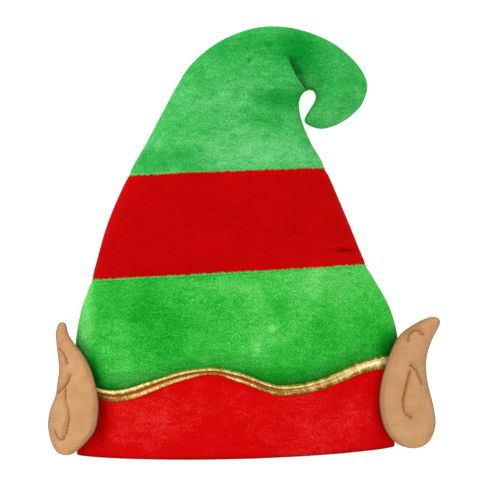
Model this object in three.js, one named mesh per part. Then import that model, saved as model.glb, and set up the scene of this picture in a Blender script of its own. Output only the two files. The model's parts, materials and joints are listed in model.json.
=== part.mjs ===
// Elf hat lying on its back: a curled crown of three plush panels, a wavy cuff with a gilt binding, two padded ears.
// Millimetres. X runs across the hat, Y from the hem to the bend, Z up from the surface that the hat lies on.
import * as THREE from "three";

// The hat
const HAT_WIDTH = 286; // across the hem, side to side
const HAT_HEIGHT = 389; // from the lowest point of the hem to the top of the bend
const HAT_DEPTH = 64; // from the surface to the top of the cuff, as its padding holds it open
const EDGE_SHARE = 0.36; // height of the side edges, as a share of the depth there
const FRONT_ROUND = 2.25; // exponents of the superellipse that the two faces follow
const BACK_ROUND = 2.8;
const SETTLE = 4; // how far the back would bulge below the surface, and is flattened instead

// The cloth
const CLOTH = 2.2; // plush velour with its backing
const SEAM_GAP = 0.35; // between pieces that are sewn to each other
const SEAM_DIP = 0.9; // how far a seam pulls the plush in
const SEAM_SPREAD = 4; // how far from the seam that pull reaches

// The cuff and its binding
const CUFF_HEIGHT = 67; // from the hem to the middle of the wave
const WAVE_RISE = 11.5; // of a crest above the middle
const BINDING_WIDTH = 9.4;
const BINDING_ABOVE = 3.4; // how much of the width stands above the cuff's edge
const BINDING_PROUD = 2.6; // in front of the cuff
const BINDING_BACK = 0.9; // thickness of the leg behind the cuff
const PRESS_END = 2.5 * BINDING_WIDTH; // how far from the cuff's edge the binding's thickness is felt under the hat
const COVER_END = 1.8 * BINDING_WIDTH; // how far from it an ear over the binding is held up by it
const CROWN_INSET = CLOTH + BINDING_BACK + 2 * SEAM_GAP; // from the cuff's face to the crown's
const PUFF_RISE = 17; // height over which the crown swells out again above the binding

// The ears
const EAR_LENGTH = 119;
const EAR_DEPTH = 9;
const EAR_BACK_SHARE = 0.35; // of the depth that lies behind the ear's rim
const EAR_GIVE = 3; // how far the hat's flank presses into the back of an ear
const EAR_ROUND = 3; // exponent of the padding's swell from the rim
const EAR_THIN_WIDTH = 1.6 * EAR_DEPTH; // an ear narrower than this is thinner too
const STITCH_DEPTH = 2.6; // of the valleys that the ear's stitching pulls in
const STITCH_SPREAD = 4.2;

// Fineness of the facets
const TURNS = 48; // steps round the hat
const EDGE_THINNING = 0.25; // widens the steps at the side edges, which are short there, and narrows the others
const EAR_ROWS = 20;
const EAR_STEPS = 12; // across one face of an ear

// Crown sections from the hem to the end of the curl. left and right are where the section meets the outline:
// x is a share of HAT_WIDTH from the middle of the hem, y a share of HAT_HEIGHT. bow is how far the middle of the
// section hangs below its ends, a share of HAT_HEIGHT. depth and lift (off the surface) are shares of HAT_DEPTH.
const SECTIONS = [
  { at: "hem", left: [-0.5, 0.009], right: [0.5, 0.028], bow: 0.012, depth: 1.0, lift: 0 },
  { left: [-0.505, 0.132], right: [0.511, 0.141], bow: 0.009, depth: 1.0, lift: 0 },
  { left: [-0.506, 0.248], right: [0.513, 0.259], bow: 0.007, depth: 0.98, lift: 0 },
  { left: [-0.489, 0.337], right: [0.485, 0.349], bow: 0.005, depth: 0.93, lift: 0 },
  { at: "base seam", left: [-0.455, 0.413], right: [0.412, 0.448], bow: 0, depth: 0.87, lift: 0 },
  { left: [-0.405, 0.543], right: [0.353, 0.552], bow: 0.001, depth: 0.79, lift: 0 },
  { at: "stripe seam", left: [-0.338, 0.657], right: [0.282, 0.674], bow: 0, depth: 0.72, lift: 0 },
  { left: [-0.28, 0.734], right: [0.236, 0.734], bow: 0, depth: 0.67, lift: 0 },
  { left: [-0.231, 0.803], right: [0.208, 0.784], bow: 0, depth: 0.62, lift: 0 },
  { left: [-0.189, 0.86], right: [0.2, 0.818], bow: 0, depth: 0.59, lift: 0 },
  { left: [-0.14, 0.915], right: [0.204, 0.836], bow: 0, depth: 0.58, lift: 0 },
  { left: [-0.05, 0.968], right: [0.214, 0.848], bow: 0, depth: 0.57, lift: 0 },
  { left: [0.063, 0.999], right: [0.224, 0.853], bow: 0, depth: 0.56, lift: 0 },
  { left: [0.176, 0.999], right: [0.236, 0.855], bow: 0, depth: 0.56, lift: 0 },
  { left: [0.289, 0.971], right: [0.247, 0.852], bow: 0, depth: 0.55, lift: 0 },
  { left: [0.373, 0.924], right: [0.253, 0.843], bow: 0, depth: 0.53, lift: 0 },
  { left: [0.415, 0.873], right: [0.252, 0.832], bow: 0, depth: 0.51, lift: 0 },
  { left: [0.404, 0.829], right: [0.241, 0.817], bow: 0, depth: 0.48, lift: 0 },
  { left: [0.367, 0.796], right: [0.23, 0.804], bow: 0, depth: 0.42, lift: 0.01 },
  { left: [0.323, 0.775], right: [0.222, 0.794], bow: 0, depth: 0.34, lift: 0.03 },
  { left: [0.279, 0.765], right: [0.218, 0.784], bow: 0, depth: 0.24, lift: 0.07 },
  { at: "end", left: [0.249, 0.767], right: [0.224, 0.776], bow: 0, depth: 0.1, lift: 0.13 },
];

// Dents in the front. row counts SECTIONS, and may lie between two; across runs from -1 at the left edge to 1 at the
// right. deep is a share of HAT_DEPTH, before and after are the rows that the dent spreads either way, wide its spread
// across.
const DENTS = [
  { name: "pleat at the bend", row: 11.55, across: 0.62, deep: 0.2, before: 0.28, after: 0.75, wide: 0.42 },
  { name: "hollow inside the curl", row: 14.2, across: 0.75, deep: 0.08, before: 0.9, after: 0.9, wide: 0.4 },
  { name: "fold at the stripe's side", row: 4.3, across: 0.88, deep: 0.05, before: 0.1, after: 0.16, wide: 0.16 },
  { name: "slack over the stripe", row: 5.4, across: 0.1, deep: 0.025, before: 0.5, after: 0.5, wide: 0.5 },
];

// The ribbon's section, once round. above and below are from the cuff's edge, as shares of the ribbon's reach that way.
// out is in front of the cuff's face, a share of BINDING_PROUD, and behind is behind that face, in millimetres.
const BINDING_SECTION = [
  { below: 1, behind: -SEAM_GAP },
  { below: 0.95, out: 0.6 },
  { below: 0.5, out: 1 },
  { above: 0.3, out: 1 },
  { above: 0.95, out: 0.1 },
  { above: 1, behind: CLOTH * 0.6 },
  { above: 0.6, behind: CLOTH + SEAM_GAP + BINDING_BACK },
  { below: 0.7, behind: CLOTH + SEAM_GAP + BINDING_BACK },
  { below: 0.7, behind: CLOTH + SEAM_GAP },
  { above: SEAM_GAP / BINDING_ABOVE, behind: CLOTH + SEAM_GAP },
  { above: SEAM_GAP / BINDING_ABOVE, behind: -SEAM_GAP },
];

const SWELL_SHARES = [0.3, 0.6, 1]; // of PUFF_RISE, where the crown has rows above the binding
const BASE_SHARES = [1 / 3, 2 / 3]; // of the way from there to the base seam

// Rows of the tip, closer together round the bend. The inside ends before the curl does, where its walls meet.
const TIP_ROWS = {
  tube: [7, 7.8, 8.6, 9.4, 10.2, 10.8, 11.3, 11.7, 12.2, 12.9, 13.6, 14.3, 15, 15.7, 16.3, 16.9],
  curl: [17.5, 18.2, 19, 19.8, 20.4, 20.85],
  inside: [7.5, 9, 10.2, 11.3, 12.2, 13.3, 14.3, 15.3, 16.2, 17, 18, 19],
  insideEnd: 19.3,
};

// Crests and troughs of the cuff's edge. turn is a share of the way round, from the left edge over the front.
const WAVE = [
  { turn: 0.12, rise: -0.9 },
  { turn: 0.23, rise: 1.0 },
  { turn: 0.291, rise: -0.55 },
  { turn: 0.415, rise: 1.15 },
  { turn: 0.578, rise: -0.9 },
  { turn: 0.713, rise: 1.0 },
  { turn: 0.849, rise: -0.9 },
  { turn: 0.985, rise: 0.9 },
];

// Each ear's outline from lobe to tip, as shares of EAR_LENGTH from the point where the ear is sewn on:
// out runs away from the hat, up towards its bend. The first and last rows are single points.
// stitches are the lines sewn through the ear, in the same shares.
const EARS = [
  {
    name: "ear_left",
    side: -1,
    sewnAt: [-0.505, 0.138],
    droop: 42,
    outline: [
      { inner: [0.08, -0.424], outer: [0.08, -0.424] },
      { inner: [-0.019, -0.383], outer: [0.163, -0.375] },
      { inner: [-0.095, -0.311], outer: [0.195, -0.303] },
      { inner: [-0.163, -0.216], outer: [0.213, -0.205] },
      { inner: [-0.189, -0.091], outer: [0.197, -0.091] },
      { inner: [-0.188, 0.015], outer: [0.152, 0.023] },
      { inner: [-0.167, 0.121], outer: [0.139, 0.106] },
      { inner: [-0.129, 0.239], outer: [0.123, 0.227] },
      { inner: [-0.068, 0.345], outer: [0.133, 0.326] },
      { inner: [0.0, 0.424], outer: [0.145, 0.424] },
      { inner: [0.047, 0.492], outer: [0.15, 0.5] },
      { inner: [0.064, 0.553], outer: [0.133, 0.553] },
      { inner: [0.098, 0.583], outer: [0.098, 0.583] },
    ],
    stitches: [
      [[0.11, 0.377], [0.087, 0.35], [0.066, 0.314], [0.055, 0.27]],
      [[0.03, 0.182], [0.05, 0.13], [0.08, 0.094], [0.123, 0.05]],
      [[0.069, 0.094], [0.066, -0.01], [0.045, -0.08], [0.042, -0.16], [0.062, -0.253]],
      [[0.15, -0.246], [0.125, -0.295], [0.09, -0.3], [0.075, -0.28]],
    ],
  },
  {
    name: "ear_right",
    side: 1,
    sewnAt: [0.511, 0.138],
    droop: 33,
    outline: [
      { inner: [0.125, -0.37], outer: [0.125, -0.37] },
      { inner: [-0.011, -0.33], outer: [0.242, -0.318] },
      { inner: [-0.08, -0.261], outer: [0.28, -0.242] },
      { inner: [-0.129, -0.159], outer: [0.289, -0.159] },
      { inner: [-0.152, -0.015], outer: [0.264, -0.023] },
      { inner: [-0.14, 0.129], outer: [0.227, 0.121] },
      { inner: [-0.1, 0.276], outer: [0.213, 0.258] },
      { inner: [-0.042, 0.414], outer: [0.23, 0.364] },
      { inner: [0.023, 0.505], outer: [0.258, 0.439] },
      { inner: [0.146, 0.583], outer: [0.295, 0.508] },
      { inner: [0.231, 0.616], outer: [0.322, 0.561] },
      { inner: [0.314, 0.617], outer: [0.314, 0.617] },
    ],
    stitches: [
      [[0.07, 0.442], [0.078, 0.487], [0.13, 0.521], [0.182, 0.492]],
      [[0.085, 0.261], [0.125, 0.225], [0.145, 0.18], [0.175, 0.117]],
      [[0.083, 0.218], [0.052, 0.109], [0.027, -0.014], [0.04, -0.09], [0.09, -0.137]],
    ],
  },
];

const PLUSH_GREEN = new THREE.MeshStandardMaterial({ color: 0x2fb63f, roughness: 0.95 });
const PLUSH_RED = new THREE.MeshStandardMaterial({ color: 0xd00808, roughness: 0.95 });
const GILT_RIBBON = new THREE.MeshStandardMaterial({ color: 0xc9a24a, roughness: 0.35, metalness: 0.8 });
const EAR_JERSEY = new THREE.MeshStandardMaterial({ color: 0xcf9c6c, roughness: 0.9 });

const { clamp, degToRad, lerp, smoothstep } = THREE.MathUtils;
const HALVINGS = 26; // of a search by halving
const NUDGE = 1e-3; // step of a numeric slope
const FRONT_TURN = 0.25; // turns of the middle of each face
const BACK_TURN = 0.75;
const MAX_STEEPNESS = 1.6; // most that a thickness is stretched upwards where it lies on a slope

const rowNamed = (name) => SECTIONS.findIndex((section) => section.at === name);
const BASE_SEAM = rowNamed("base seam");
const STRIPE_SEAM = rowNamed("stripe seam");
const END = rowNamed("end");

// A smooth curve through one point of each row, read by row number.
function rowCurve(points) {
  const curve = new THREE.CatmullRomCurve3(points, false, "catmullrom", 0.5);
  return (row) => curve.getPoint(clamp(row / (points.length - 1), 0, 1));
}

const leftEdge = rowCurve(
  SECTIONS.map((s) => new THREE.Vector3(s.left[0] * HAT_WIDTH, s.left[1] * HAT_HEIGHT, s.depth * HAT_DEPTH)),
);
const rightEdge = rowCurve(
  SECTIONS.map((s) => new THREE.Vector3(s.right[0] * HAT_WIDTH, s.right[1] * HAT_HEIGHT, s.lift * HAT_DEPTH)),
);
const bowOf = rowCurve(SECTIONS.map((s) => new THREE.Vector3(s.bow * HAT_HEIGHT, 0, 0)));

// A point of a section, across from -1 to 1, in plan.
function planPoint(row, across) {
  const left = leftEdge(row);
  const right = rightEdge(row);
  const share = (across + 1) / 2;
  const sag = bowOf(row).x * (1 - across * across);
  return { x: lerp(left.x, right.x, share), y: lerp(left.y, right.y, share) - sag, depth: left.z, lift: right.z };
}

// Where a turn round the hat lies in its section: how far across, how far from the side edges, and on which face.
function sectionPlace(turn) {
  const cosine = Math.cos(2 * Math.PI * turn);
  const sine = Math.sin(2 * Math.PI * turn);
  const front = sine >= 0;
  const power = 2 / (front ? FRONT_ROUND : BACK_ROUND);
  return {
    across: -Math.sign(cosine) * Math.abs(cosine) ** power,
    rise: Math.abs(sine) ** power,
    front,
  };
}

function dentDepth(row, across) {
  return DENTS.reduce((sum, dent) => {
    const spread = row < dent.row ? dent.before : dent.after;
    const along = (row - dent.row) / spread;
    const aside = (across - dent.across) / dent.wide;
    return sum + dent.deep * HAT_DEPTH * Math.exp(-along * along - aside * aside);
  }, 0);
}

// Height of the cuff's edge above the hem at a turn, eased from crest to trough.
function cuffEdge(turn) {
  const after = WAVE.findIndex((point) => point.turn > turn);
  const next = WAVE[after < 0 ? 0 : after];
  const last = WAVE[(WAVE.indexOf(next) + WAVE.length - 1) % WAVE.length];
  const span = (next.turn - last.turn + 1) % 1;
  const share = ((turn - last.turn + 1) % 1) / span;
  return CUFF_HEIGHT + WAVE_RISE * lerp(last.rise, next.rise, (1 - Math.cos(Math.PI * share)) / 2);
}

const heightAboveHem = (row, across) => planPoint(row, across).y - planPoint(0, across).y;

// The binding is thicker than the cuff, so under the hat it presses the cloth up by its own thickness.
function pressedUp(row, turn, across) {
  const fromEdge = Math.abs(heightAboveHem(row, across) - cuffEdge(turn));
  return BINDING_PROUD * (1 - smoothstep(fromEdge, BINDING_WIDTH, PRESS_END));
}

// A point of the hat's outer form.
function formPoint(row, turn) {
  const { across, rise, front } = sectionPlace(turn);
  const plan = planPoint(row, across);
  const edge = EDGE_SHARE * plan.depth;
  if (front) {
    const swell = (plan.depth - edge) * rise - dentDepth(row, across) * rise;
    return new THREE.Vector3(plan.x, plan.y, plan.lift + edge + swell);
  }
  const bulged = plan.lift + edge - (edge + SETTLE) * rise;
  return new THREE.Vector3(plan.x, plan.y, Math.max(bulged, pressedUp(row, turn, across), 0));
}

// The outer form moved inwards by inset, square to it.
function insetPoint(row, turn, inset) {
  const round = (share) => formPoint(row, (turn + share + 1) % 1);
  const low = clamp(row - NUDGE, 0, END);
  const high = clamp(row + NUDGE, 0, END);
  const along = formPoint(high, turn).sub(formPoint(low, turn));
  const about = round(NUDGE).sub(round(-NUDGE));
  const inwards = along.cross(about).normalize();
  return formPoint(row, turn).addScaledVector(inwards, inset);
}

// The row at a height above the hem.
function rowAtHeight(turn, height) {
  const { across } = sectionPlace(turn);
  let low = 0;
  let high = STRIPE_SEAM;
  for (let i = 0; i < HALVINGS; i++) {
    const middle = (low + high) / 2;
    if (heightAboveHem(middle, across) < height) low = middle;
    else high = middle;
  }
  return (low + high) / 2;
}

// The row that lies a distance in millimetres beyond another, at a turn.
function rowBeyond(row, turn, distance) {
  const side = Math.sign(distance);
  const speed = formPoint(row + side * NUDGE, turn).distanceTo(formPoint(row, turn)) / NUDGE;
  return row + distance / speed;
}

// Turns round the hat, a little closer together over its two faces.
const TURN_LIST = Array.from({ length: TURNS }, (_, i) => {
  const share = i / TURNS;
  return share + (EDGE_THINNING * Math.sin(4 * Math.PI * share)) / (4 * Math.PI);
});

// Joins rings of points into one closed skin. A ring of one point is a pole. loop joins the last ring to the first.
function skin(rings, loop = false) {
  const starts = [];
  const positions = [];
  rings.forEach((ring) => {
    starts.push(positions.length / 3);
    ring.forEach((point) => positions.push(...point.toArray()));
  });
  const index = [];
  const pairs = loop ? rings.length : rings.length - 1;
  for (let r = 0; r < pairs; r++) {
    const next = (r + 1) % rings.length;
    const count = Math.max(rings[r].length, rings[next].length);
    for (let k = 0; k < count; k++) {
      const here = [k, (k + 1) % count].map((i) => starts[r] + (rings[r].length > 1 ? i : 0));
      const there = [k, (k + 1) % count].map((i) => starts[next] + (rings[next].length > 1 ? i : 0));
      if (here[0] !== here[1]) index.push(here[0], here[1], there[0]);
      if (there[0] !== there[1]) index.push(here[1], there[1], there[0]);
    }
  }
  const geometry = new THREE.BufferGeometry();
  geometry.setAttribute("position", new THREE.Float32BufferAttribute(positions, 3));
  geometry.setIndex(index);
  if (signedVolume(positions, index) < 0) geometry.setIndex(index.reverse());
  geometry.computeVertexNormals();
  return geometry;
}

function signedVolume(positions, index) {
  const corner = (i) => new THREE.Vector3().fromArray(positions, 3 * index[i]);
  let sum = 0;
  for (let i = 0; i < index.length; i += 3) sum += corner(i).dot(corner(i + 1).cross(corner(i + 2)));
  return sum / 6;
}

// A band round the hat. profile(turn) lists the band's cross-section there as [row, inset] pairs, once round.
function band(profile) {
  const columns = TURN_LIST.map((turn) => profile(turn).map(([row, inset]) => insetPoint(row, turn, inset)));
  const rings = columns[0].map((_, k) => columns.map((column) => column[k]));
  return skin(rings, true);
}

// Wall of a panel through rows: its outer face, then back along its inner face.
function wall(outer) {
  const inner = outer.map(([row, inset]) => [row, inset + CLOTH]).reverse();
  return [...outer, ...inner];
}

const seamPull = (distance) => SEAM_DIP * Math.exp(-((distance / SEAM_SPREAD) ** 2));
const NEAR_SEAM = [SEAM_GAP / 2, 3, 7.5]; // distances from a seam at which a panel has a row

// Rows of a panel next to a seam, on the side that direction gives, starting at the seam.
const seamRows = (seam, turn, direction) =>
  NEAR_SEAM.map((distance) => [rowBeyond(seam, turn, direction * distance), seamPull(distance)]);

function crownBase() {
  return band((turn) => {
    const edge = cuffEdge(turn);
    const start = CLOTH + SEAM_GAP;
    const crown = (height) => {
      const inset = CROWN_INSET * (1 - smoothstep(height - edge - BINDING_ABOVE, 0, PUFF_RISE));
      return [rowAtHeight(turn, height), inset];
    };
    const heights = [start, edge - PRESS_END, edge - BINDING_WIDTH, edge, edge + BINDING_ABOVE + SEAM_GAP];
    const swelling = SWELL_SHARES.map((share) => edge + BINDING_ABOVE + share * PUFF_RISE);
    const lower = [...heights, ...swelling].map(crown);
    const upper = seamRows(BASE_SEAM, turn, -1).reverse();
    const from = lower.at(-1)[0];
    const to = upper[0][0];
    const between = BASE_SHARES.map((share) => [lerp(from, to, share), 0]);
    return wall([...lower, ...between, ...upper]);
  });
}

function crownStripe() {
  return band((turn) => {
    const lower = seamRows(BASE_SEAM, turn, 1);
    const upper = seamRows(STRIPE_SEAM, turn, -1).reverse();
    const middle = [lerp(lower.at(-1)[0], upper[0][0], 0.5), 0];
    return wall([...lower, middle, ...upper]);
  });
}

function crownTip() {
  const fromSeam = seamRows.bind(null, STRIPE_SEAM);
  const ring = (row, inset) => TURN_LIST.map((turn) => insetPoint(row, turn, inset));
  const seamRing = (k, inset) =>
    TURN_LIST.map((turn) => {
      const [row, pull] = fromSeam(turn, 1)[k];
      return insetPoint(row, turn, pull + inset);
    });
  const seamRings = (inset) => NEAR_SEAM.map((_, k) => seamRing(k, inset));
  const middleOf = (row) => formPoint(row, FRONT_TURN).lerp(formPoint(row, BACK_TURN), 0.5);
  const outerRings = [...TIP_ROWS.tube, ...TIP_ROWS.curl].map((row) => ring(row, 0));
  const innerRings = TIP_ROWS.inside.map((row) => ring(row, CLOTH));
  const outer = [...seamRings(0), ...outerRings, [middleOf(END)]];
  const inner = [...seamRings(CLOTH), ...innerRings, [middleOf(TIP_ROWS.insideEnd)]];
  return skin([...outer.reverse(), ...inner]);
}

// The cuff: a wall outside the crown, turned in under the crown's lower edge at the hem.
function cuff() {
  const fold = CLOTH / 2;
  const corner = 0.3 * fold; // the fold's lower corner is cut off at 45 degrees
  const lip = CROWN_INSET + CLOTH;
  return band((turn) => {
    const edge = cuffEdge(turn);
    const section = [
      [edge, 0],
      [edge - BINDING_WIDTH, 0],
      [edge - PRESS_END, 0],
      [fold, 0],
      [corner, corner],
      [0, fold],
      [0, lip - fold],
      [fold, lip],
      [CLOTH, lip],
      [CLOTH, CLOTH],
      [edge - PRESS_END, CLOTH],
      [edge - BINDING_WIDTH, CLOTH],
      [edge, CLOTH],
    ];
    return section.map(([height, inset]) => [rowAtHeight(turn, height), inset]);
  });
}

// The binding: a ribbon folded over the cuff's edge.
function binding() {
  const belowEdge = BINDING_WIDTH - BINDING_ABOVE;
  const section = BINDING_SECTION.map(({ above = 0, below = 0, out = 0, behind = 0 }) => [
    above * BINDING_ABOVE - below * belowEdge,
    behind - out * BINDING_PROUD,
  ]);
  return band((turn) => {
    const edge = cuffEdge(turn);
    return section.map(([height, inset]) => [rowAtHeight(turn, edge + height), inset]);
  });
}

// Height of the hat's front, binding and all, under a point in plan, or nothing beside the hat.
function frontHeight(x, y) {
  let low = 0;
  let high = STRIPE_SEAM;
  const acrossAt = (row) => {
    const left = leftEdge(row).x;
    return clamp((2 * (x - left)) / (rightEdge(row).x - left) - 1, -1, 1);
  };
  for (let i = 0; i < HALVINGS; i++) {
    const middle = (low + high) / 2;
    if (planPoint(middle, acrossAt(middle)).y < y) low = middle;
    else high = middle;
  }
  const across = acrossAt(low);
  if (Math.abs(across) === 1 || y < planPoint(0, across).y) return -Infinity;
  const turn = Math.acos(-Math.sign(across) * Math.abs(across) ** (FRONT_ROUND / 2)) / (2 * Math.PI);
  const fromEdge = Math.abs(heightAboveHem(low, across) - cuffEdge(turn));
  const overBinding = BINDING_PROUD * (1 - smoothstep(fromEdge, BINDING_WIDTH, COVER_END));
  const slope = Math.min(MAX_STEEPNESS, Math.hypot(1, frontSlope(low, turn)));
  return formPoint(low, turn).z + (overBinding + SEAM_GAP) * slope;
}

// How steeply the front rises from the side, in millimetres a millimetre.
function frontSlope(row, turn) {
  const here = formPoint(row, turn);
  const near = formPoint(row, turn + NUDGE);
  return (near.z - here.z) / (near.x - here.x);
}

const softMax = (a, b, blend) => (Number.isFinite(a) ? (a + b + Math.hypot(a - b, blend)) / 2 : b);

// Where the back of an ear lies: over the hat's flank, then away from it at the ear's droop, above the surface.
function earSeat(ear, outlinePoints) {
  const plane = (x) => -ear.side * (x - ear.sewnAt[0] * HAT_WIDTH) * Math.tan(degToRad(ear.droop));
  const lifts = outlinePoints.map((p) => frontHeight(p.x, p.y) - plane(p.x));
  const lift = Math.max(...lifts) - EAR_GIVE;
  return (x, y) => softMax(softMax(frontHeight(x, y), plane(x) + lift, EAR_GIVE), 0, EAR_GIVE / 2);
}

function distanceToLine(point, line) {
  const closest = new THREE.Vector3();
  return Math.min(
    ...line.slice(1).map((end, k) => {
      new THREE.Line3(line[k], end).closestPointToPoint(point, true, closest);
      return closest.distanceTo(point);
    }),
  );
}

function earShape(ear) {
  const inPlan = ([out, up]) =>
    new THREE.Vector3(
      ear.sewnAt[0] * HAT_WIDTH + ear.side * out * EAR_LENGTH,
      ear.sewnAt[1] * HAT_HEIGHT + up * EAR_LENGTH,
      0,
    );
  const inner = rowCurve(ear.outline.map((row) => inPlan(row.inner)));
  const outer = rowCurve(ear.outline.map((row) => inPlan(row.outer)));
  const stitches = ear.stitches.map((line) => line.map(inPlan));
  const last = ear.outline.length - 1;
  const rows = Array.from({ length: EAR_ROWS }, (_, i) => ((i + 0.5) / EAR_ROWS) * last);
  const steps = Array.from({ length: EAR_STEPS + 1 }, (_, k) => -Math.cos((Math.PI * k) / EAR_STEPS));
  const grid = rows.map((row) => steps.map((step) => inner(row).lerp(outer(row), (step + 1) / 2)));
  const seat = earSeat(ear, grid.flat());

  // One face of the ear, a share of its depth above or below the rim.
  const facePoint = (row, step, above) => {
    const plan = inner(row).lerp(outer(row), (step + 1) / 2);
    const width = inner(row).distanceTo(outer(row));
    const fullness = Math.sqrt(Math.max(0, 1 - Math.abs(step) ** EAR_ROUND));
    const depth = EAR_DEPTH * Math.min(1, width / EAR_THIN_WIDTH);
    const toStitch = Math.min(...stitches.map((line) => distanceToLine(plan, line)));
    const valley = above > 0 ? STITCH_DEPTH * Math.exp(-((toStitch / STITCH_SPREAD) ** 2)) * fullness : 0;
    const offset = EAR_BACK_SHARE * depth + above * depth * fullness - valley;
    const base = seat(plan.x, plan.y);
    const slopeX = (seat(plan.x + NUDGE, plan.y) - base) / NUDGE;
    const steepness = Math.min(MAX_STEEPNESS, Math.hypot(1, slopeX));
    return new THREE.Vector3(plan.x, plan.y, base + offset * steepness);
  };
  const rings = rows.map((row) => [
    ...steps.map((step) => facePoint(row, step, 1 - EAR_BACK_SHARE)),
    ...steps.slice(1, -1).reverse().map((step) => facePoint(row, step, -EAR_BACK_SHARE)),
  ]);
  const pole = (row) => [facePoint(row, 0, 0)];
  return skin([pole(0), ...rings, pole(last)]);
}

const pieces = [
  { name: "crown_tip", shape: crownTip(), material: PLUSH_GREEN },
  { name: "crown_stripe", shape: crownStripe(), material: PLUSH_RED },
  { name: "crown_base", shape: crownBase(), material: PLUSH_GREEN },
  { name: "cuff", shape: cuff(), material: PLUSH_RED },
  { name: "gilt_binding", shape: binding(), material: GILT_RIBBON },
  ...EARS.map((ear) => ({ name: ear.name, shape: earShape(ear), material: EAR_JERSEY })),
];

const hat = new THREE.Group();
for (const { name, shape, material } of pieces) {
  const mesh = new THREE.Mesh(shape, material);
  mesh.name = name;
  hat.add(mesh);
}

// The origin is the middle of the hat's base.
const bounds = new THREE.Box3().setFromObject(hat, true);
const middle = bounds.getCenter(new THREE.Vector3());
hat.position.set(-middle.x, -middle.y, -bounds.min.z);

export default hat;
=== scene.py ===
# %% [markdown]
# # A plush elf hat, laid out flat
# The real hat is sewn from short-pile plush: a green base, a red stripe and a green tip that bends over into a
# curl. A red cuff goes round the hem, its wavy edge bound with gilt ribbon, and a padded jersey ear is sewn to each
# side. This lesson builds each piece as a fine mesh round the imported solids, and gives each its cloth.

# %% Load the frame
import json
import math

import bpy
import numpy as np
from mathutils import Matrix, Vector
from mathutils.bvhtree import BVHTree

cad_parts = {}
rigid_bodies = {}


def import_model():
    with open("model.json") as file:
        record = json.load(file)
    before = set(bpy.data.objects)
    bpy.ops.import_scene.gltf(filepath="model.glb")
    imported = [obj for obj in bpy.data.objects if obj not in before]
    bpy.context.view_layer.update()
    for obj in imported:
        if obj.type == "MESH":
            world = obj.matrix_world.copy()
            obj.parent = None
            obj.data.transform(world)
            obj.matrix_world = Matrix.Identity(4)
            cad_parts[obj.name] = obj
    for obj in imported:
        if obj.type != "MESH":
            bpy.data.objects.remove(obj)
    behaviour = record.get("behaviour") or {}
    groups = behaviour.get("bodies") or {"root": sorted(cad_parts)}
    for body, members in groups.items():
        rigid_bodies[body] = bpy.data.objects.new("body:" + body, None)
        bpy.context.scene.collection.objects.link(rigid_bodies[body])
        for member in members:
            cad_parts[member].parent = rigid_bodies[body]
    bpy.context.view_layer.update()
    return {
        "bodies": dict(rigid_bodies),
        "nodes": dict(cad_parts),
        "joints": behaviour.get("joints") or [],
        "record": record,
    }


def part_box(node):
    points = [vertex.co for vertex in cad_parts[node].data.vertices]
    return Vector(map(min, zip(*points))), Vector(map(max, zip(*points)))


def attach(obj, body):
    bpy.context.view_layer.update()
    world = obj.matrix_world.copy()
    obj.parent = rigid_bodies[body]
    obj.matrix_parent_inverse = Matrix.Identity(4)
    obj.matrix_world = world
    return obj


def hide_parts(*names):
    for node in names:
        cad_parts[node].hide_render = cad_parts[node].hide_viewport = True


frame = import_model()

# %% [markdown]
# ## Helpers
# Lengths in this script are millimetres, because cloth is cut and sewn in them, and one factor turns them to
# Blender's metres. Colours are the hex values that a paint program shows, so one function turns them to the linear
# values that a shader works in.

# %% Units, colours and nodes
MM = 0.001


def linear(hex_colour):
    channels = [int(hex_colour[i : i + 2], 16) / 255 for i in (0, 2, 4)]
    return tuple(c / 12.92 if c <= 0.04045 else ((c + 0.055) / 1.055) ** 2.4 for c in channels) + (1.0,)


def add_node(tree, kind, values=None, **settings):
    """Adds a node. A value that is a socket is linked, and any other is set on the input."""
    node = tree.nodes.new(kind)
    for name, setting in settings.items():
        setattr(node, name, setting)
    for socket, value in (values or {}).items():
        if isinstance(value, bpy.types.NodeSocket):
            tree.links.new(value, node.inputs[socket])
        else:
            node.inputs[socket].default_value = value
    return node


def smoothstep(x, low, high):
    share = np.clip((x - low) / (high - low), 0, 1)
    return share * share * (3 - 2 * share)


print("one millimetre is", MM, "m")

# %% [markdown]
# ## Camera
# The hat is photographed from straight above with a long lens, so its sides hardly converge. The camera looks down
# with the hat's bend at the top of the picture, and its height follows from how much of the floor the picture shows.

# %% Camera above the hat
PICTURE_WIDTH = 432.0  # of the hat's surroundings that the picture shows, at the height of its side edges
SIDE_EDGE_HEIGHT = 25.0
LENS = 200.0
SENSOR = 36.0
PICTURE_CENTRE = (-3.6, 1.1)  # from the middle of the hat's outline

camera_height = PICTURE_WIDTH * LENS / SENSOR + SIDE_EDGE_HEIGHT
camera_data = bpy.data.cameras.new("camera")
camera_data.lens = LENS
camera_data.sensor_width = SENSOR
camera_data.clip_end = 20
camera = bpy.data.objects.new("camera", camera_data)
camera.location = Vector((*PICTURE_CENTRE, camera_height)) * MM
bpy.context.scene.collection.objects.link(camera)
bpy.context.scene.camera = camera
print("camera height:", round(camera_height), "mm")

# %% [markdown]
# ## The hat's form
# The crown is a tube of cloth that lies flat on its back, so every section across it is a flattened oval. A table
# gives where each section meets the outline, from the hem round the bend to the end of the curl, and a smooth curve
# runs through its rows. Two numbers then name any point of the hat: the row, which counts the table's rows, and the
# turn, the share of the way round from the left edge over the front. Every cloth piece is built on this one form, so
# they fit each other.

# %% Sections from the hem to the end of the curl
HAT_WIDTH = 286.0
HAT_HEIGHT = 389.0
HAT_DEPTH = 64.0
EDGE_SHARE = 0.36  # height of the side edges, as a share of the depth there
FRONT_ROUND = 2.25  # exponents of the two faces' superellipses
BACK_ROUND = 2.8
SETTLE = 4.0  # how far the back would bulge below the floor, and is flattened instead

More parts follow.
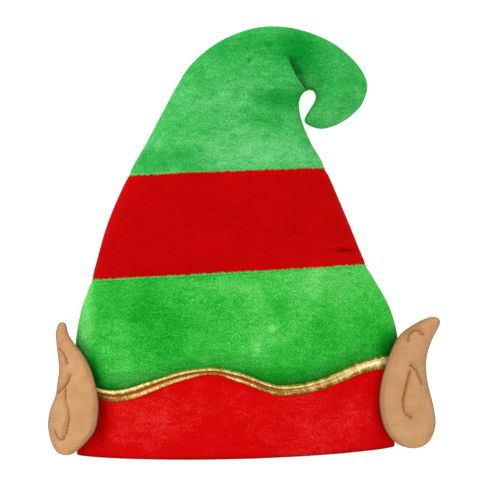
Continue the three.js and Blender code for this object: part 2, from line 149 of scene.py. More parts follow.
# left x and y, right x and y, bow, depth, lift: x is a share of HAT_WIDTH, y and bow of HAT_HEIGHT, the rest of HAT_DEPTH
SECTIONS = np.array(
    [
        (-0.5, 0.009, 0.5, 0.028, 0.012, 1.0, 0),
        (-0.505, 0.132, 0.511, 0.141, 0.009, 1.0, 0),
        (-0.506, 0.248, 0.513, 0.259, 0.007, 0.98, 0),
        (-0.489, 0.337, 0.485, 0.349, 0.005, 0.93, 0),
        (-0.455, 0.413, 0.412, 0.448, 0, 0.87, 0),
        (-0.405, 0.543, 0.353, 0.552, 0.001, 0.79, 0),
        (-0.338, 0.657, 0.282, 0.674, 0, 0.72, 0),
        (-0.28, 0.734, 0.236, 0.734, 0, 0.67, 0),
        (-0.231, 0.803, 0.208, 0.784, 0, 0.62, 0),
        (-0.189, 0.86, 0.2, 0.818, 0, 0.59, 0),
        (-0.14, 0.915, 0.204, 0.836, 0, 0.58, 0),
        (-0.05, 0.968, 0.214, 0.848, 0, 0.57, 0),
        (0.063, 0.999, 0.224, 0.853, 0, 0.56, 0),
        (0.176, 0.999, 0.236, 0.855, 0, 0.56, 0),
        (0.289, 0.971, 0.247, 0.852, 0, 0.55, 0),
        (0.373, 0.924, 0.253, 0.843, 0, 0.53, 0),
        (0.415, 0.873, 0.252, 0.832, 0, 0.51, 0),
        (0.404, 0.829, 0.241, 0.817, 0, 0.48, 0),
        (0.367, 0.796, 0.23, 0.804, 0, 0.42, 0.01),
        (0.323, 0.775, 0.222, 0.794, 0, 0.34, 0.03),
        (0.279, 0.765, 0.218, 0.784, 0, 0.24, 0.07),
        (0.249, 0.767, 0.224, 0.776, 0, 0.1, 0.13),
    ]
)
SECTION_UNITS = np.array([HAT_WIDTH, HAT_HEIGHT, HAT_WIDTH, HAT_HEIGHT, HAT_HEIGHT, HAT_DEPTH, HAT_DEPTH])
BASE_SEAM = 4
STRIPE_SEAM = 6
END = len(SECTIONS) - 1


def row_curve(points):
    """A Catmull-Rom curve through one point of each row, read by row number."""
    padded = np.vstack([2 * points[:1] - points[1:2], points, 2 * points[-1:] - points[-2:-1]])

    def at(rows):
        rows = np.clip(np.asarray(rows, float), 0, len(points) - 1)
        start = np.minimum(rows.astype(int), len(points) - 2)
        t = (rows - start)[..., None]
        a, b, c, d = (padded[start + k] for k in range(4))
        return 0.5 * (2 * b + (c - a) * t + (2 * a - 5 * b + 4 * c - d) * t**2 + (3 * b - a - 3 * c + d) * t**3)

    return at


section_at = row_curve(SECTIONS * SECTION_UNITS)


def plan_point(row, across):
    """Where a point of a section lies in plan, and the section's depth and lift there."""
    left_x, left_y, right_x, right_y, bow, depth, lift = np.moveaxis(section_at(row), -1, 0)
    share = (across + 1) / 2
    x = left_x + (right_x - left_x) * share
    y = left_y + (right_y - left_y) * share - bow * (1 - across**2)
    return x, y, depth, lift


def section_place(turn):
    """How far across its section a turn lies, how far from the side edges, and whether it is on the front."""
    cosine, sine = np.cos(2 * np.pi * turn), np.sin(2 * np.pi * turn)
    front = sine >= 0
    power = np.where(front, 2 / FRONT_ROUND, 2 / BACK_ROUND)
    return -np.sign(cosine) * np.abs(cosine) ** power, np.abs(sine) ** power, front


print("sections:", len(SECTIONS))

# %% [markdown]
# ## Folds and slack
# Laid out by hand, the cloth isn't smooth: it sinks inside the curl, creases at the stripe's side, and has a little
# slack everywhere. A table of dents gives the first, and the slack is a sum of a few long waves in random directions,
# which stay the same each run because their seed is fixed. Slack fades towards the hat's sides, so that the outline
# stays the one that the sections give.

# %% Dents and slack
# row, across, deep as a share of HAT_DEPTH, spread in rows before and after, spread across
DENTS = [
    (14.2, 0.75, 0.08, 0.9, 0.9, 0.4),
    (4.3, 0.88, 0.05, 0.1, 0.16, 0.16),
    (5.4, 0.1, 0.025, 0.5, 0.5, 0.5),
]


def soft_waves(x, y, length, seed, count=9):
    """Smooth random relief between about -1 and 1, with waves of about the given length."""
    random = np.random.default_rng(seed)
    total = np.zeros(np.shape(x))
    for _ in range(count):
        angle = random.uniform(0, np.pi)
        pace = 2 * np.pi / (length * random.uniform(0.7, 1.5))
        total += np.sin(pace * (x * np.cos(angle) + y * np.sin(angle)) + random.uniform(0, 2 * np.pi))
    return total / math.sqrt(count)


def along_line(x, y, line):
    """Signed distance to a line of points, positive on its right, and a value read along the line."""
    best = np.full(np.shape(x), np.inf)
    signed = np.zeros(np.shape(x))
    value = np.zeros(np.shape(x))
    for a, b in zip(line[:-1], line[1:]):
        run = b[:2] - a[:2]
        share = np.clip(((x - a[0]) * run[0] + (y - a[1]) * run[1]) / (run @ run), 0, 1)
        off_x, off_y = x - a[0] - share * run[0], y - a[1] - share * run[1]
        distance = np.hypot(off_x, off_y)
        nearer = distance < best
        side = np.sign(run[1] * off_x - run[0] * off_y)
        best = np.where(nearer, distance, best)
        signed = np.where(nearer, side * distance, signed)
        value = np.where(nearer, a[2] + (b[2] - a[2]) * share, value)
    return signed, value


def dent_depth(row, across):
    total = np.zeros(np.shape(row))
    for dent_row, dent_across, deep, before, after, wide in DENTS:
        spread = np.where(row < dent_row, before, after)
        total += deep * HAT_DEPTH * np.exp(-(((row - dent_row) / spread) ** 2) - ((across - dent_across) / wide) ** 2)
    return total


print("dents:", len(DENTS))

# %% [markdown]
# ## The cuff's wavy edge
# The cuff's top edge is cut in waves. The table holds its crests and troughs by turn, the edge eases from one to the
# next, and under the hat the ribbon on that edge presses the cloth above it up by its own thickness.

# %% The wave and the outer form
CUFF_HEIGHT = 67.0
WAVE_RISE = 11.5
WAVE = [(0.12, -0.9), (0.23, 1.0), (0.291, -0.55), (0.415, 1.15), (0.578, -0.9), (0.713, 1.0), (0.849, -0.9), (0.985, 0.9)]
BINDING_WIDTH = 9.4
BINDING_ABOVE = 3.4
BINDING_PROUD = 2.6
BINDING_BACK = 0.9
CLOTH = 2.2
SEAM_GAP = 0.35
CROWN_INSET = CLOTH + BINDING_BACK + 2 * SEAM_GAP
PUFF_RISE = 17.0
NUDGE = 1e-3
HALVINGS = 26


def cuff_edge(turn):
    """Height of the cuff's edge above the hem at a turn."""
    points = [(WAVE[-1][0] - 1, WAVE[-1][1]), *WAVE, (WAVE[0][0] + 1, WAVE[0][1])]
    turns, rises = np.array(points).T
    turn = np.asarray(turn) % 1
    after = np.clip(np.searchsorted(turns, turn, side="right"), 1, len(turns) - 1)
    share = (turn - turns[after - 1]) / (turns[after] - turns[after - 1])
    eased = (1 - np.cos(np.pi * share)) / 2
    return CUFF_HEIGHT + WAVE_RISE * (rises[after - 1] + (rises[after] - rises[after - 1]) * eased)


def height_above_hem(row, across):
    return plan_point(row, across)[1] - plan_point(np.zeros(np.shape(row)), across)[1]


def form_point(row, turn):
    """A point of the hat's outer form, folds included."""
    row, turn = np.broadcast_arrays(np.asarray(row, float), np.asarray(turn, float))
    across, rise, front = section_place(turn)
    x, y, depth, lift = plan_point(row, across)
    edge = EDGE_SHARE * depth
    top = lift + edge + (depth - edge - dent_depth(row, across)) * rise
    from_edge = np.abs(height_above_hem(row, across) - cuff_edge(turn))
    pressed = BINDING_PROUD * (1 - smoothstep(from_edge, BINDING_WIDTH, 2.5 * BINDING_WIDTH))
    bottom = np.maximum(lift + edge - (edge + SETTLE) * rise, np.maximum(pressed, 0))
    return np.stack([x, y, np.where(front, top, bottom)], -1)


def inset_point(row, turn, inset):
    """The outer form moved inwards by inset, square to it."""
    row, turn, inset = np.broadcast_arrays(*(np.asarray(v, float) for v in (row, turn, inset)))
    along = form_point(np.clip(row + NUDGE, 0, END), turn) - form_point(np.clip(row - NUDGE, 0, END), turn)
    about = form_point(row, turn + NUDGE) - form_point(row, turn - NUDGE)
    inwards = np.cross(along, about)
    inwards /= np.maximum(np.linalg.norm(inwards, axis=-1, keepdims=True), 1e-12)
    return form_point(row, turn) + inwards * inset[..., None]


def row_at_height(turn, height):
    across = section_place(turn)[0]
    low = np.zeros(np.broadcast(turn, height).shape)
    high = np.full(low.shape, float(STRIPE_SEAM))
    for _ in range(HALVINGS):
        middle = (low + high) / 2
        below = height_above_hem(middle, across) < height
        low = np.where(below, middle, low)
        high = np.where(below, high, middle)
    return (low + high) / 2


print("cuff edge from", round(float(cuff_edge(np.linspace(0, 1, 200)).min())), "to", round(float(cuff_edge(np.linspace(0, 1, 200)).max())), "mm")

# %% [markdown]
# ## From rings to cloth
# Each band of cloth is a stack of rings round the hat: up its outer face, over its edge, down its inner face, and
# closed there. The outer faces get the pile and the inner ones the backing, so each ring says which it is. All
# pieces share one offset, found where the cuff's mesh has to meet the cuff's place in the frame.

# %% Skins and their place
TURNS = 360
EDGE_THINNING = 0.25
share = np.arange(TURNS) / TURNS
TURN_LIST = share + EDGE_THINNING * np.sin(4 * np.pi * share) / (4 * np.pi)

cuff_low, cuff_high = (np.array(corner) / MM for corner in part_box("cuff"))
rows_of_cuff = row_at_height(TURN_LIST[:, None], np.linspace(0, 1, 9)[None, :] * cuff_edge(TURN_LIST)[:, None])
own_cuff = form_point(rows_of_cuff, TURN_LIST[:, None]).reshape(-1, 3)
OFFSET = (cuff_low + cuff_high) / 2 - (own_cuff.min(0) + own_cuff.max(0)) / 2
OFFSET[2] = 0
print("offset to the frame:", OFFSET.round(2), "mm; cuff in the frame", (cuff_high - cuff_low).round(1))
print("cuff built here", (own_cuff.max(0) - own_cuff.min(0)).round(1))


def make_object(name, points, faces, materials=(), face_material=None, uvs=None, attributes=None):
    """A mesh object from points in millimetres on the hat's form."""
    mesh = bpy.data.meshes.new(name)
    mesh.from_pydata(((points + OFFSET) * MM).tolist(), [], [list(map(int, f)) for f in faces])
    for material in materials:
        mesh.materials.append(material)
    if face_material is not None:
        mesh.polygons.foreach_set("material_index", np.asarray(face_material, dtype=np.int32))
    mesh.polygons.foreach_set("use_smooth", np.ones(len(mesh.polygons), dtype=bool))
    for attribute, values in (attributes or {}).items():
        layer = mesh.attributes.new(attribute, "FLOAT", "POINT")
        layer.data.foreach_set("value", np.asarray(values, dtype=np.float32))
    if uvs is not None:
        layer = mesh.uv_layers.new(name="cloth")
        corners = np.zeros(len(mesh.loops), dtype=np.int32)
        mesh.loops.foreach_get("vertex_index", corners)
        layer.data.foreach_set("uv", np.asarray(uvs, dtype=np.float32)[corners].ravel())
    mesh.validate()
    mesh.update()
    made = bpy.data.objects.new(name, mesh)
    bpy.context.scene.collection.objects.link(made)
    print(name, "faces:", len(mesh.polygons), "size mm:", (np.array(made.bound_box).ptp(0) / MM).round(1))
    return made


def ring_faces(ring_count, per_ring, loop):
    """Quads between neighbouring rings, and the number of the ring that each starts from."""
    pairs = ring_count if loop else ring_count - 1
    here = np.arange(pairs)[:, None]
    there = (here + 1) % ring_count
    step = np.arange(per_ring)[None, :]
    following = (step + 1) % per_ring
    quads = np.stack([here * per_ring + step, here * per_ring + following, there * per_ring + following, there * per_ring + step], -1)
    return quads.reshape(-1, 4), np.repeat(np.arange(pairs), per_ring)


def facing_out(points, faces):
    """The faces, turned round if the closed shape that they bound is inside out."""
    a, b, c = points[faces[:, 0]], points[faces[:, 1]], points[faces[:, 2]]
    volume = np.einsum("ij,ij->i", a, np.cross(b, c)).sum()
    d = points[faces[:, -1]]
    volume += np.einsum("ij,ij->i", a, np.cross(c, d)).sum()
    return faces if volume > 0 else faces[:, ::-1]


# %% [markdown]
# ## Plush
# The cloth is polyester velour: a knitted ground with a cut pile about 1.5 mm tall. The pile lies one way where a hand
# has brushed it and another way beside that, so the same cloth shows light and dark clouds a few centimetres across,
# with finer streaks inside them. Single tufts turn their ends to the light and show as pale dots. The shader adds
# these three scales of noise into one tone and reads the colour from a ramp. Pile has almost no gloss, only a weak
# sheen of its own colour along curved edges. Tufts are about 0.6 mm wide, and the dots are drawn at 1.2 mm so that
# they show.

# %% Plush material
TUFT_SPECKLE = 1.2
NAP_WEIGHT = 0.45


def object_noise(tree, coordinates, size, detail=2.0, roughness=0.55, distortion=0.0):
    """Noise whose lumps are about size millimetres across."""
    values = {"Vector": coordinates, "Scale": 1 / (size * MM), "Detail": detail, "Roughness": roughness, "Distortion": distortion}
    return add_node(tree, "ShaderNodeTexNoise", values).outputs["Fac"]


def mixed(tree, *weighted):
    """The middle tone, 0.5, moved by each noise's distance from its own middle, times its weight."""
    total = add_node(tree, "ShaderNodeValue")
    total.outputs[0].default_value = 0.5 - 0.5 * sum(weight for _, weight in weighted)
    total = total.outputs[0]
    for socket, weight in weighted:
        values = {0: socket, 1: weight, 2: total}
        total = add_node(tree, "ShaderNodeMath", values, operation="MULTIPLY_ADD").outputs[0]
    return total


def ramp(tree, factor, stops):
    node = add_node(tree, "ShaderNodeValToRGB", {"Fac": factor})
    elements = node.color_ramp.elements
    while len(elements) < len(stops):
        elements.new(0.5)
    for element, (position, colour) in zip(elements, stops):
        element.position = position
        element.color = linear(colour)
    return node.outputs["Color"]


def new_material(name):
    material = bpy.data.materials.new(name)
    material.use_nodes = True
    tree = material.node_tree
    tree.nodes.clear()
    shader = add_node(tree, "ShaderNodeBsdfPrincipled")
    add_node(tree, "ShaderNodeOutputMaterial", {"Surface": shader.outputs[0]})
    return material, tree, shader


def plush(name, stops, painted_shade_colour, sheen_colour, sheen, weights):
    """Velour whose tone is moved by clouds, streaks and dots, by the three weights, and by the nap_and_shade attribute,
    which holds brushed pile and some painted shade and highlights.

    The fold attribute is painted shade: it mixes the colour towards painted_shade_colour where the pile lies deep in a
    fold, turns down into a seam or lies beside an ear, where hardly any light comes to it.
    """
    material, tree, shader = new_material(name)
    place = add_node(tree, "ShaderNodeTexCoord").outputs["Object"]
    flattened = add_node(tree, "ShaderNodeMapping", {"Vector": place, "Scale": (0.4, 1.0, 1.0)}).outputs[0]
    clouds = object_noise(tree, place, 34, detail=2, distortion=0.5)
    streaks = object_noise(tree, flattened, 5, detail=3, distortion=0.8)
    dots = object_noise(tree, place, TUFT_SPECKLE, detail=1, roughness=0.7)
    nap_and_shade = add_node(tree, "ShaderNodeAttribute", attribute_name="nap_and_shade").outputs["Fac"]
    noises = mixed(tree, *zip((clouds, streaks, dots), weights))
    tone = add_node(tree, "ShaderNodeMath", {0: nap_and_shade, 1: NAP_WEIGHT, 2: noises}, operation="MULTIPLY_ADD").outputs[0]
    # painted shade: the fold attribute mixes the ramp's colour towards painted_shade_colour
    fold = add_node(tree, "ShaderNodeAttribute", attribute_name="fold").outputs["Fac"]
    shades = {"Factor": fold, "A": ramp(tree, tone, stops), "B": linear(painted_shade_colour)}
    mix = add_node(tree, "ShaderNodeMix", shades, data_type="RGBA")
    tree.links.new(mix.outputs["Result"], shader.inputs["Base Color"])
    lumps = mixed(tree, (dots, 1.0), (streaks, 0.6))
    bump = add_node(tree, "ShaderNodeBump", {"Height": lumps, "Strength": 0.4, "Distance": 1.0 * MM})
    tree.links.new(bump.outputs[0], shader.inputs["Normal"])
    shader.inputs["Roughness"].default_value = 0.9
    shader.inputs["Specular IOR Level"].default_value = 0.03
    shader.inputs["Sheen Weight"].default_value = sheen
    shader.inputs["Sheen Roughness"].default_value = 0.45
    shader.inputs["Sheen Tint"].default_value = linear(sheen_colour)
    return material


# Each plush's third value is the colour of its painted shade.
# The tip's pile lies towards the light and looks paler than the base's.
tip_plush = plush(
    "polyester velour, green, pile brushed up",
    [(0.0, "08882A"), (0.2, "189C38"), (0.38, "2EAA47"), (0.55, "45BA5A"), (0.95, "84DC90")],
    "02340E",
    "60D070",
    0.07,
    (0.45, 0.55, 1.0),
)
base_plush = plush(
    "polyester velour, green, pile brushed down",
    [(0.0, "068412"), (0.25, "149E22"), (0.54, "33BD3C"), (1.0, "82E27C")],
    "013A06",
    "50D058",
    0.07,
    (0.5, 0.45, 1.15),
)
stripe_plush = plush(
    "polyester velour, red, pile lying smooth",
    [(0.0, "700003"), (0.3, "B20001"), (0.5, "C00203"), (0.7, "CC0405"), (1.0, "E21A14")],
    "4A0002",
    "FF2418",
    0.02,
    (0.35, 0.4, 0.55),
)
cuff_plush = plush(
    "polyester velour, red, pile ruffled",
    [(0.0, "900004"), (0.3, "D00305"), (0.56, "DA0507"), (1.0, "F0443E")],
    "700002",
    "FF4038",
    0.03,
    (0.45, 0.4, 0.75),
)


def knitted_backing(name, deep, pale):
    """The ground of the velour, seen inside the hat: fine even loops, duller than the pile."""
    material, tree, shader = new_material(name)
    place = add_node(tree, "ShaderNodeTexCoord").outputs["Object"]
    loops = object_noise(tree, place, 1.0, detail=1)
    clouds = object_noise(tree, place, 18, detail=2)
    tone = mixed(tree, (loops, 0.6), (clouds, 0.4))
    tree.links.new(ramp(tree, tone, [(0.35, deep), (0.65, pale)]), shader.inputs["Base Color"])
    bump = add_node(tree, "ShaderNodeBump", {"Height": loops, "Strength": 0.4, "Distance": 0.5 * MM})
    tree.links.new(bump.outputs[0], shader.inputs["Normal"])
    shader.inputs["Roughness"].default_value = 0.85
    shader.inputs["Sheen Weight"].default_value = 0.1
    return material


green_backing = knitted_backing("knitted ground of the green velour", "3C8C48", "6FB374")
red_backing = knitted_backing("knitted ground of the red velour", "8C2A28", "B5504A")
print("plush materials:", [m.name for m in bpy.data.materials])

# %% [markdown]
# ## Brushed patches and painted shade
# A hand leaves the pile brushed dark or light in places that noise would not choose. The same list holds painted shade
# and light too: the dark side of the pleat, which is partly pile brushed dark and partly painted shade, the painted
# shadows that the ears cast beside them, painted shade in a crease on the stripe, and a painted highlight along the
# base's left edge. A short list gives them as soft ovals, and each cloth mesh carries the sum as an attribute that its
# shader adds to the clouds.

# %% Where the pile is brushed, and where shade and light are painted
# x and y as shares of HAT_WIDTH and HAT_HEIGHT, radii in millimetres, tone from -1, dark, to 1, light
BRUSHED_AND_SHADED = [
    # partly pile brushed dark, partly painted shade on the pleat's far side
    (0.2, 0.935, 17, 19, -0.75),
    (0.08, 0.955, 46, 12, -0.55),
    (0.3, 0.9, 30, 30, -0.15),
    (0.36, 0.82, 26, 20, -0.1),
    (0.13, 0.83, 22, 9, -0.8),
    (0.08, 0.785, 16, 6, -0.45),
    (-0.08, 0.8, 60, 26, 0.2),
    (0.12, 0.7, 70, 16, 0.5),
    (-0.22, 0.69, 30, 8, -0.3),
    (0.28, 0.42, 60, 20, 0.5),
    # painted highlight along the base's left edge
    (-0.47, 0.34, 8, 40, 0.7),
    (-0.24, 0.33, 30, 34, -0.4),
    (0.04, 0.29, 30, 16, 0.25),
    (0.3, 0.27, 26, 22, -0.1),
    (-0.05, 0.4, 60, 8, 0.2),
    (0.1, 0.2, 44, 7, -0.3),
    (-0.3, 0.1, 34, 24, 0.4),
    (0.3, 0.09, 30, 20, 0.2),
    # painted shadows of the ears, on the cuff and on the crown beside them
    (-0.42, 0.1, 8, 30, -1.0),
    (0.455, 0.12, 6, 34, -0.6),
    (-0.445, 0.21, 7, 14, -0.9),
    (0.465, 0.26, 7, 16, -0.9),
    # painted shade in the crease at the stripe's right side, with lighter lines along it
    (0.35, 0.482, 11, 2.2, -0.95),
    (0.31, 0.4935, 14, 1.1, 0.8),
    (0.353, 0.504, 6, 1.0, 0.7),
    (0.041, 0.919, 1.8, 2.2, -1.2),
    (0.114, 0.306, 3.5, 3.5, 0.7),
    (0.066, 0.26, 4, 4, 0.6),
]


# The sum of brushed pile and of painted shade and highlights, as one tone.
def brushed_and_shaded_tone(x, y):
    tone = np.zeros(np.shape(x))
    for centre_x, centre_y, radius_x, radius_y, strength in BRUSHED_AND_SHADED:
        off = ((x - centre_x * HAT_WIDTH) / radius_x) ** 2 + ((y - centre_y * HAT_HEIGHT) / radius_y) ** 2
        tone += strength * np.exp(-off)
    return tone


print("brushed patches:", len(BRUSHED_AND_SHADED))

# %% [markdown]
# ## Bands of cloth
# A band's outer face carries the fine relief that is too small for the form: slack in the cloth, the pucker that
# thread makes along a seam, the groove of the side seams, and the pile's roll over a cut edge. It fades where the
# band touches the floor, so the hat still lies flat.

# %% Relief of the plush and a band of it
SEAM_DIP = 0.9
SEAM_SPREAD = 4.0
PUCKER = 0.35
PUCKER_LENGTH = 12.0
EDGE_ROLL = 1.1
SIDE_SEAM_DEPTH = 0.9
SIDE_SEAM_WIDTH = 1.6
# painted shade along the side seams: how dark, and how far round it reaches
SIDE_SHADE = 0.6
SIDE_SHADE_WIDTH = 8.0
ROW_STEP = 2.2


def from_side_seam(turn):
    """Millimetres round the hem from the nearer side seam."""
    girth = 2.3 * HAT_WIDTH
    return np.minimum(np.abs(turn % 0.5), 0.5 - (turn % 0.5)) * girth


def side_shade(turn):
    """Painted shade where the pile turns down into a side seam."""
    return SIDE_SHADE * np.exp(-((from_side_seam(turn) / SIDE_SHADE_WIDTH) ** 2))


def relief(points, turn):
    """How far the cloth stands proud of its form."""
    x, y, z = np.moveaxis(points, -1, 0)
    slack = 0.9 * soft_waves(x, y, 62, seed=3) + 0.4 * soft_waves(x, y, 24, seed=5)
    slack *= smoothstep(section_place(turn)[1], 0.05, 0.6)
    side_seam = SIDE_SEAM_DEPTH * np.exp(-((from_side_seam(turn) / SIDE_SEAM_WIDTH) ** 2))
    return (slack - side_seam) * smoothstep(z, 0.5, 8)


def pucker(points, distance, seed):
    """Small even gathers beside a line of sewing, dying out a few millimetres from it."""
    x, y = points[..., 0], points[..., 1]
    wave = np.sin(2 * np.pi * x / PUCKER_LENGTH + 1.5 * soft_waves(x, y, 40, seed))
    return PUCKER * wave * np.exp(-((distance / (1.6 * SEAM_SPREAD)) ** 2))


def rows_between(first, last, step=ROW_STEP):
    """Rows about step millimetres apart along the front's middle, as shares from 0 to 1."""
    fine = np.linspace(first, last, 60)
    points = form_point(fine, np.full(60, 0.25))
    length = np.linalg.norm(np.diff(points, axis=0), axis=1).sum()
    return max(4, int(round(length / step)))


def cloth_band(name, outer_rows, outer_insets, materials, creased=0.0, inner_every=3):
    """A closed band. outer_rows and outer_insets are arrays of rings by turns, creased the painted shade of a crease or
    fold, to 1.
    """
    bare = inset_point(outer_rows, TURN_LIST[None, :], outer_insets)
    raised = relief(bare, np.broadcast_to(TURN_LIST[None, :], outer_rows.shape))
    outer = inset_point(outer_rows, TURN_LIST[None, :], outer_insets - raised)
    outer[..., 2] = np.maximum(outer[..., 2], 0)
    keep = sorted({0, 1, len(outer_rows) - 2, len(outer_rows) - 1, *range(1, len(outer_rows) - 1, inner_every)})
    inner = inset_point(outer_rows[keep], TURN_LIST[None, :], outer_insets[keep] - raised[keep] + CLOTH)[::-1]
    rings = np.concatenate([outer, inner])
    points = rings.reshape(-1, 3)
    faces, ring_of = ring_faces(len(rings), TURNS, loop=True)
    faces = facing_out(points, faces)
    inside = (ring_of >= len(outer)) & (ring_of < len(rings) - 1)
    tone = brushed_and_shaded_tone(points[:, 0], points[:, 1])
    # painted shade: creases, and the side seams where the pile turns down
    fold = np.zeros(len(points))
    shade = np.maximum(creased, side_shade(TURN_LIST)[None, :])
    fold[: outer_rows.size] = np.broadcast_to(shade, outer_rows.shape).ravel()
    return make_object(name, points, faces, materials, inside.astype(int), attributes={"nap_and_shade": tone, "fold": fold})


def seam_side(seam, distance):
    """Row at a distance in millimetres from a seam, at every turn."""
    speed = np.linalg.norm(form_point(seam + NUDGE, TURN_LIST) - form_point(seam - NUDGE, TURN_LIST), axis=-1) / (2 * NUDGE)
    return seam + distance / speed[None, :]


def edge_roll(distance):
    """The pile rolls down over a cut edge within its own height."""
    near = np.clip(1 - distance / 1.6, 0, 1)
    return EDGE_ROLL * (1 - np.sqrt(1 - near**2))


def seam_inset(distance, points, seed):
    pull = SEAM_DIP * np.exp(-((distance / SEAM_SPREAD) ** 2))
    return pull + edge_roll(distance) - pucker(points, distance, seed)


NEAR_SEAM = np.array([SEAM_GAP / 2, 0.5, 0.9, 1.4, 2.2, 3.4, 5.0, 7.0, 9.5])[:, None]
print("turns round the hat:", TURNS)

# %% [markdown]
# ## The stripe
# The simplest band: red plush between two seams. Its rings crowd together at both seams, where the cloth rolls into
# the stitching, and spread out over the middle.

# %% Red stripe


def near_rows(seam, direction, seed):
    rows = seam_side(seam, direction * NEAR_SEAM)
    points = form_point(rows, TURN_LIST[None, :])
    return rows, seam_inset(NEAR_SEAM, points, seed)


def between_rows(low_rows, high_rows):
    count = rows_between(float(low_rows.mean()), float(high_rows.mean()))
    shares = np.linspace(0, 1, count + 1)[1:-1, None]
    return low_rows[None, :] * (1 - shares) + high_rows[None, :] * shares


def seamed_band(name, low_seam, high_seam, materials, seeds):
    low_rows, low_insets = near_rows(low_seam, 1, seeds[0])
    high_rows, high_insets = near_rows(high_seam, -1, seeds[1])
    middle = between_rows(low_rows[-1], high_rows[-1])
    rows = np.concatenate([low_rows, middle, high_rows[::-1]])
    insets = np.concatenate([low_insets, np.zeros(middle.shape), high_insets[::-1]])
    return cloth_band(name, rows, insets, materials)


stripe = seamed_band("stripe_plush", BASE_SEAM, STRIPE_SEAM, [stripe_plush, red_backing], (11, 12))
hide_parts("crown_stripe")
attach(stripe, "root")

# %% [markdown]
# ## The crown's base
# Below the stripe the crown passes under the cuff, and swells out again just above the ribbon. Its lower edge is the
# one that the hem's fold holds, so here the rings are set by height above the hem and follow the cuff's wave.

# %% Green base of the crown
# painted shade in the crease just above the ribbon
CREASE_SHADE = 1.0
CREASE_REACH = 6.5  # millimetres above the ribbon


def base_of_crown():
    edge = cuff_edge(TURN_LIST)[None, :]
    start = CLOTH + SEAM_GAP
    under = start + (edge - start) * np.linspace(0, 1, 16)[:, None]
    above = edge + BINDING_ABOVE + SEAM_GAP + (PUFF_RISE - SEAM_GAP) * np.linspace(0, 1, 13)[:, None]
    heights = np.concatenate([under, above])
    hidden = CROWN_INSET * (1 - smoothstep(heights - edge - BINDING_ABOVE, 0, PUFF_RISE))
    low_rows = row_at_height(TURN_LIST[None, :], heights)
    gathers = pucker(form_point(low_rows, TURN_LIST[None, :]), np.maximum(heights - edge - BINDING_ABOVE, 0), 21)
    high_rows, high_insets = near_rows(BASE_SEAM, -1, 13)
    middle = between_rows(low_rows[-1], high_rows[-1])
    rows = np.concatenate([low_rows, middle, high_rows[::-1]])
    insets = np.concatenate([hidden - gathers, np.zeros(middle.shape), high_insets[::-1]])
    # painted shade just above the ribbon, deepest in the wave's troughs
    shade = np.zeros(rows.shape)
    above_ribbon = np.maximum(heights - edge - BINDING_ABOVE, 0)
    trough = (CUFF_HEIGHT + 1.1 * WAVE_RISE - edge) / (2.2 * WAVE_RISE)
    shade[: len(heights)] = CREASE_SHADE * (0.3 + 0.7 * trough) * np.exp(-above_ribbon / CREASE_REACH)
    return cloth_band("base_plush", rows, insets, [base_plush, green_backing], shade)


base = base_of_crown()
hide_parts("crown_base")
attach(base, "root")

# %% [markdown]
# ## The tip
# The tip is one tube that bends over and closes at the end of its curl. Its rings fan out round the notch, so they
# are close on the inside of the bend and far apart outside it. At the notch the cloth has nowhere to go. Most of the
# spare cloth folds into one pleat, whose near side lies over its far side, and the rest gathers into short ridges
# that radiate from the notch. The pleat is made the way the cloth makes it: extra rings run up to the fold's edge,
# back under it, and out again lower down. A plain dent could not overhang like that.

# %% Pleat and gathers
PLEAT_ROW = 11.8
PLEAT_LEAN = 1.0  # rows that the pleat drifts from the notch to the outline
# rows from PLEAT_ROW, millimetres onwards along the tube, millimetres up, and how much painted shade the fold gets
PLEAT = np.array(
    [
        (-1.6, 0, 0, 0),
        (-0.8, 0.2, 1.0, 0),
        (-0.3, 0.9, 2.3, 0),
        (-0.1, 1.9, 2.9, 0),
        (0.0, 2.8, 2.0, 0),
        (0.02, 2.8, 0.8, 0.3),
        (0.05, 1.4, -0.6, 0.9),
        (0.09, -1.4, -1.6, 1.0),
        (0.12, -2.6, -3.4, 1.0),
        (0.15, -2.2, -5.6, 1.0),
        (0.19, -0.6, -7.4, 0.9),
        (0.26, 0.8, -8.6, 0.55),
        (0.45, 1.0, -8.6, 0.2),
        (1.0, 0.4, -5.6, 0.06),
        (1.8, 0, -2.4, 0),
        (2.8, 0, -0.6, 0),
        (3.8, 0, 0, 0),
    ]
)
PLEAT_RINGS = 26  # extra rings through the overlap
GATHER_DEPTH = 1.5
GATHERS_PER_ROW = 1.9
GATHER_SHADE = 0.3
TIP_ROWS = 150
TIP_INSIDE_END = 19.0  # row where the hollow inside the curl ends
PLEAT_DEPTH = 10.0  # of cloth that the pleat pushes into the hollow


def pleat_share(across, rise, front):
    """How open the pleat is: full near the notch, closed past the middle of the front, none on the back."""
    share = smoothstep(across, -0.2, 0.5) * (1 - 0.3 * smoothstep(across, 0.8, 1.0))
    return share * np.minimum(1, 2.5 * rise) * front


def pleat_rows(rows, turn):
    """The rows, moved so that the ring at PLEAT_ROW runs along the pleat's line over the front."""
    across, rise, front = section_place(turn)
    drift = PLEAT_LEAN * (0.5 - across) * smoothstep(across, -0.7, 0.1) * np.minimum(1, 2.5 * rise) * front
    return rows + drift * np.exp(-(((rows - PLEAT_ROW) / 2.2) ** 2))


def pleated(points, rings, turn):
    """The points with the pleat's overlap and step added, and the painted shade of the fold. rings are rows before the
    drift.
    """
    share = pleat_share(*section_place(turn))
    from_pleat = rings - PLEAT_ROW
    onwards, upwards, fold = (np.interp(from_pleat, PLEAT[:, 0], PLEAT[:, k]) * share for k in (1, 2, 3))
    rows = pleat_rows(rings, turn)
    along = form_point(np.minimum(rows + 0.05, END), turn) - form_point(rows - 0.05, turn)
    along /= np.maximum(np.linalg.norm(along, axis=-1, keepdims=True), 1e-9)
    moved = points + along * onwards[..., None]
    moved[..., 2] += upwards
    return moved, fold


def bend_gathers(rows, turn):
    across, rise, _ = section_place(turn)
    at_bend = smoothstep(rows, 11.2, 12.2) * (1 - smoothstep(rows, 14.8, 16.2))
    inside = np.exp(-(((1 - across) / 0.24) ** 2))
    return GATHER_DEPTH * at_bend * inside * np.sin(2 * np.pi * GATHERS_PER_ROW * rows) * rise


# %% Green tip with its curl


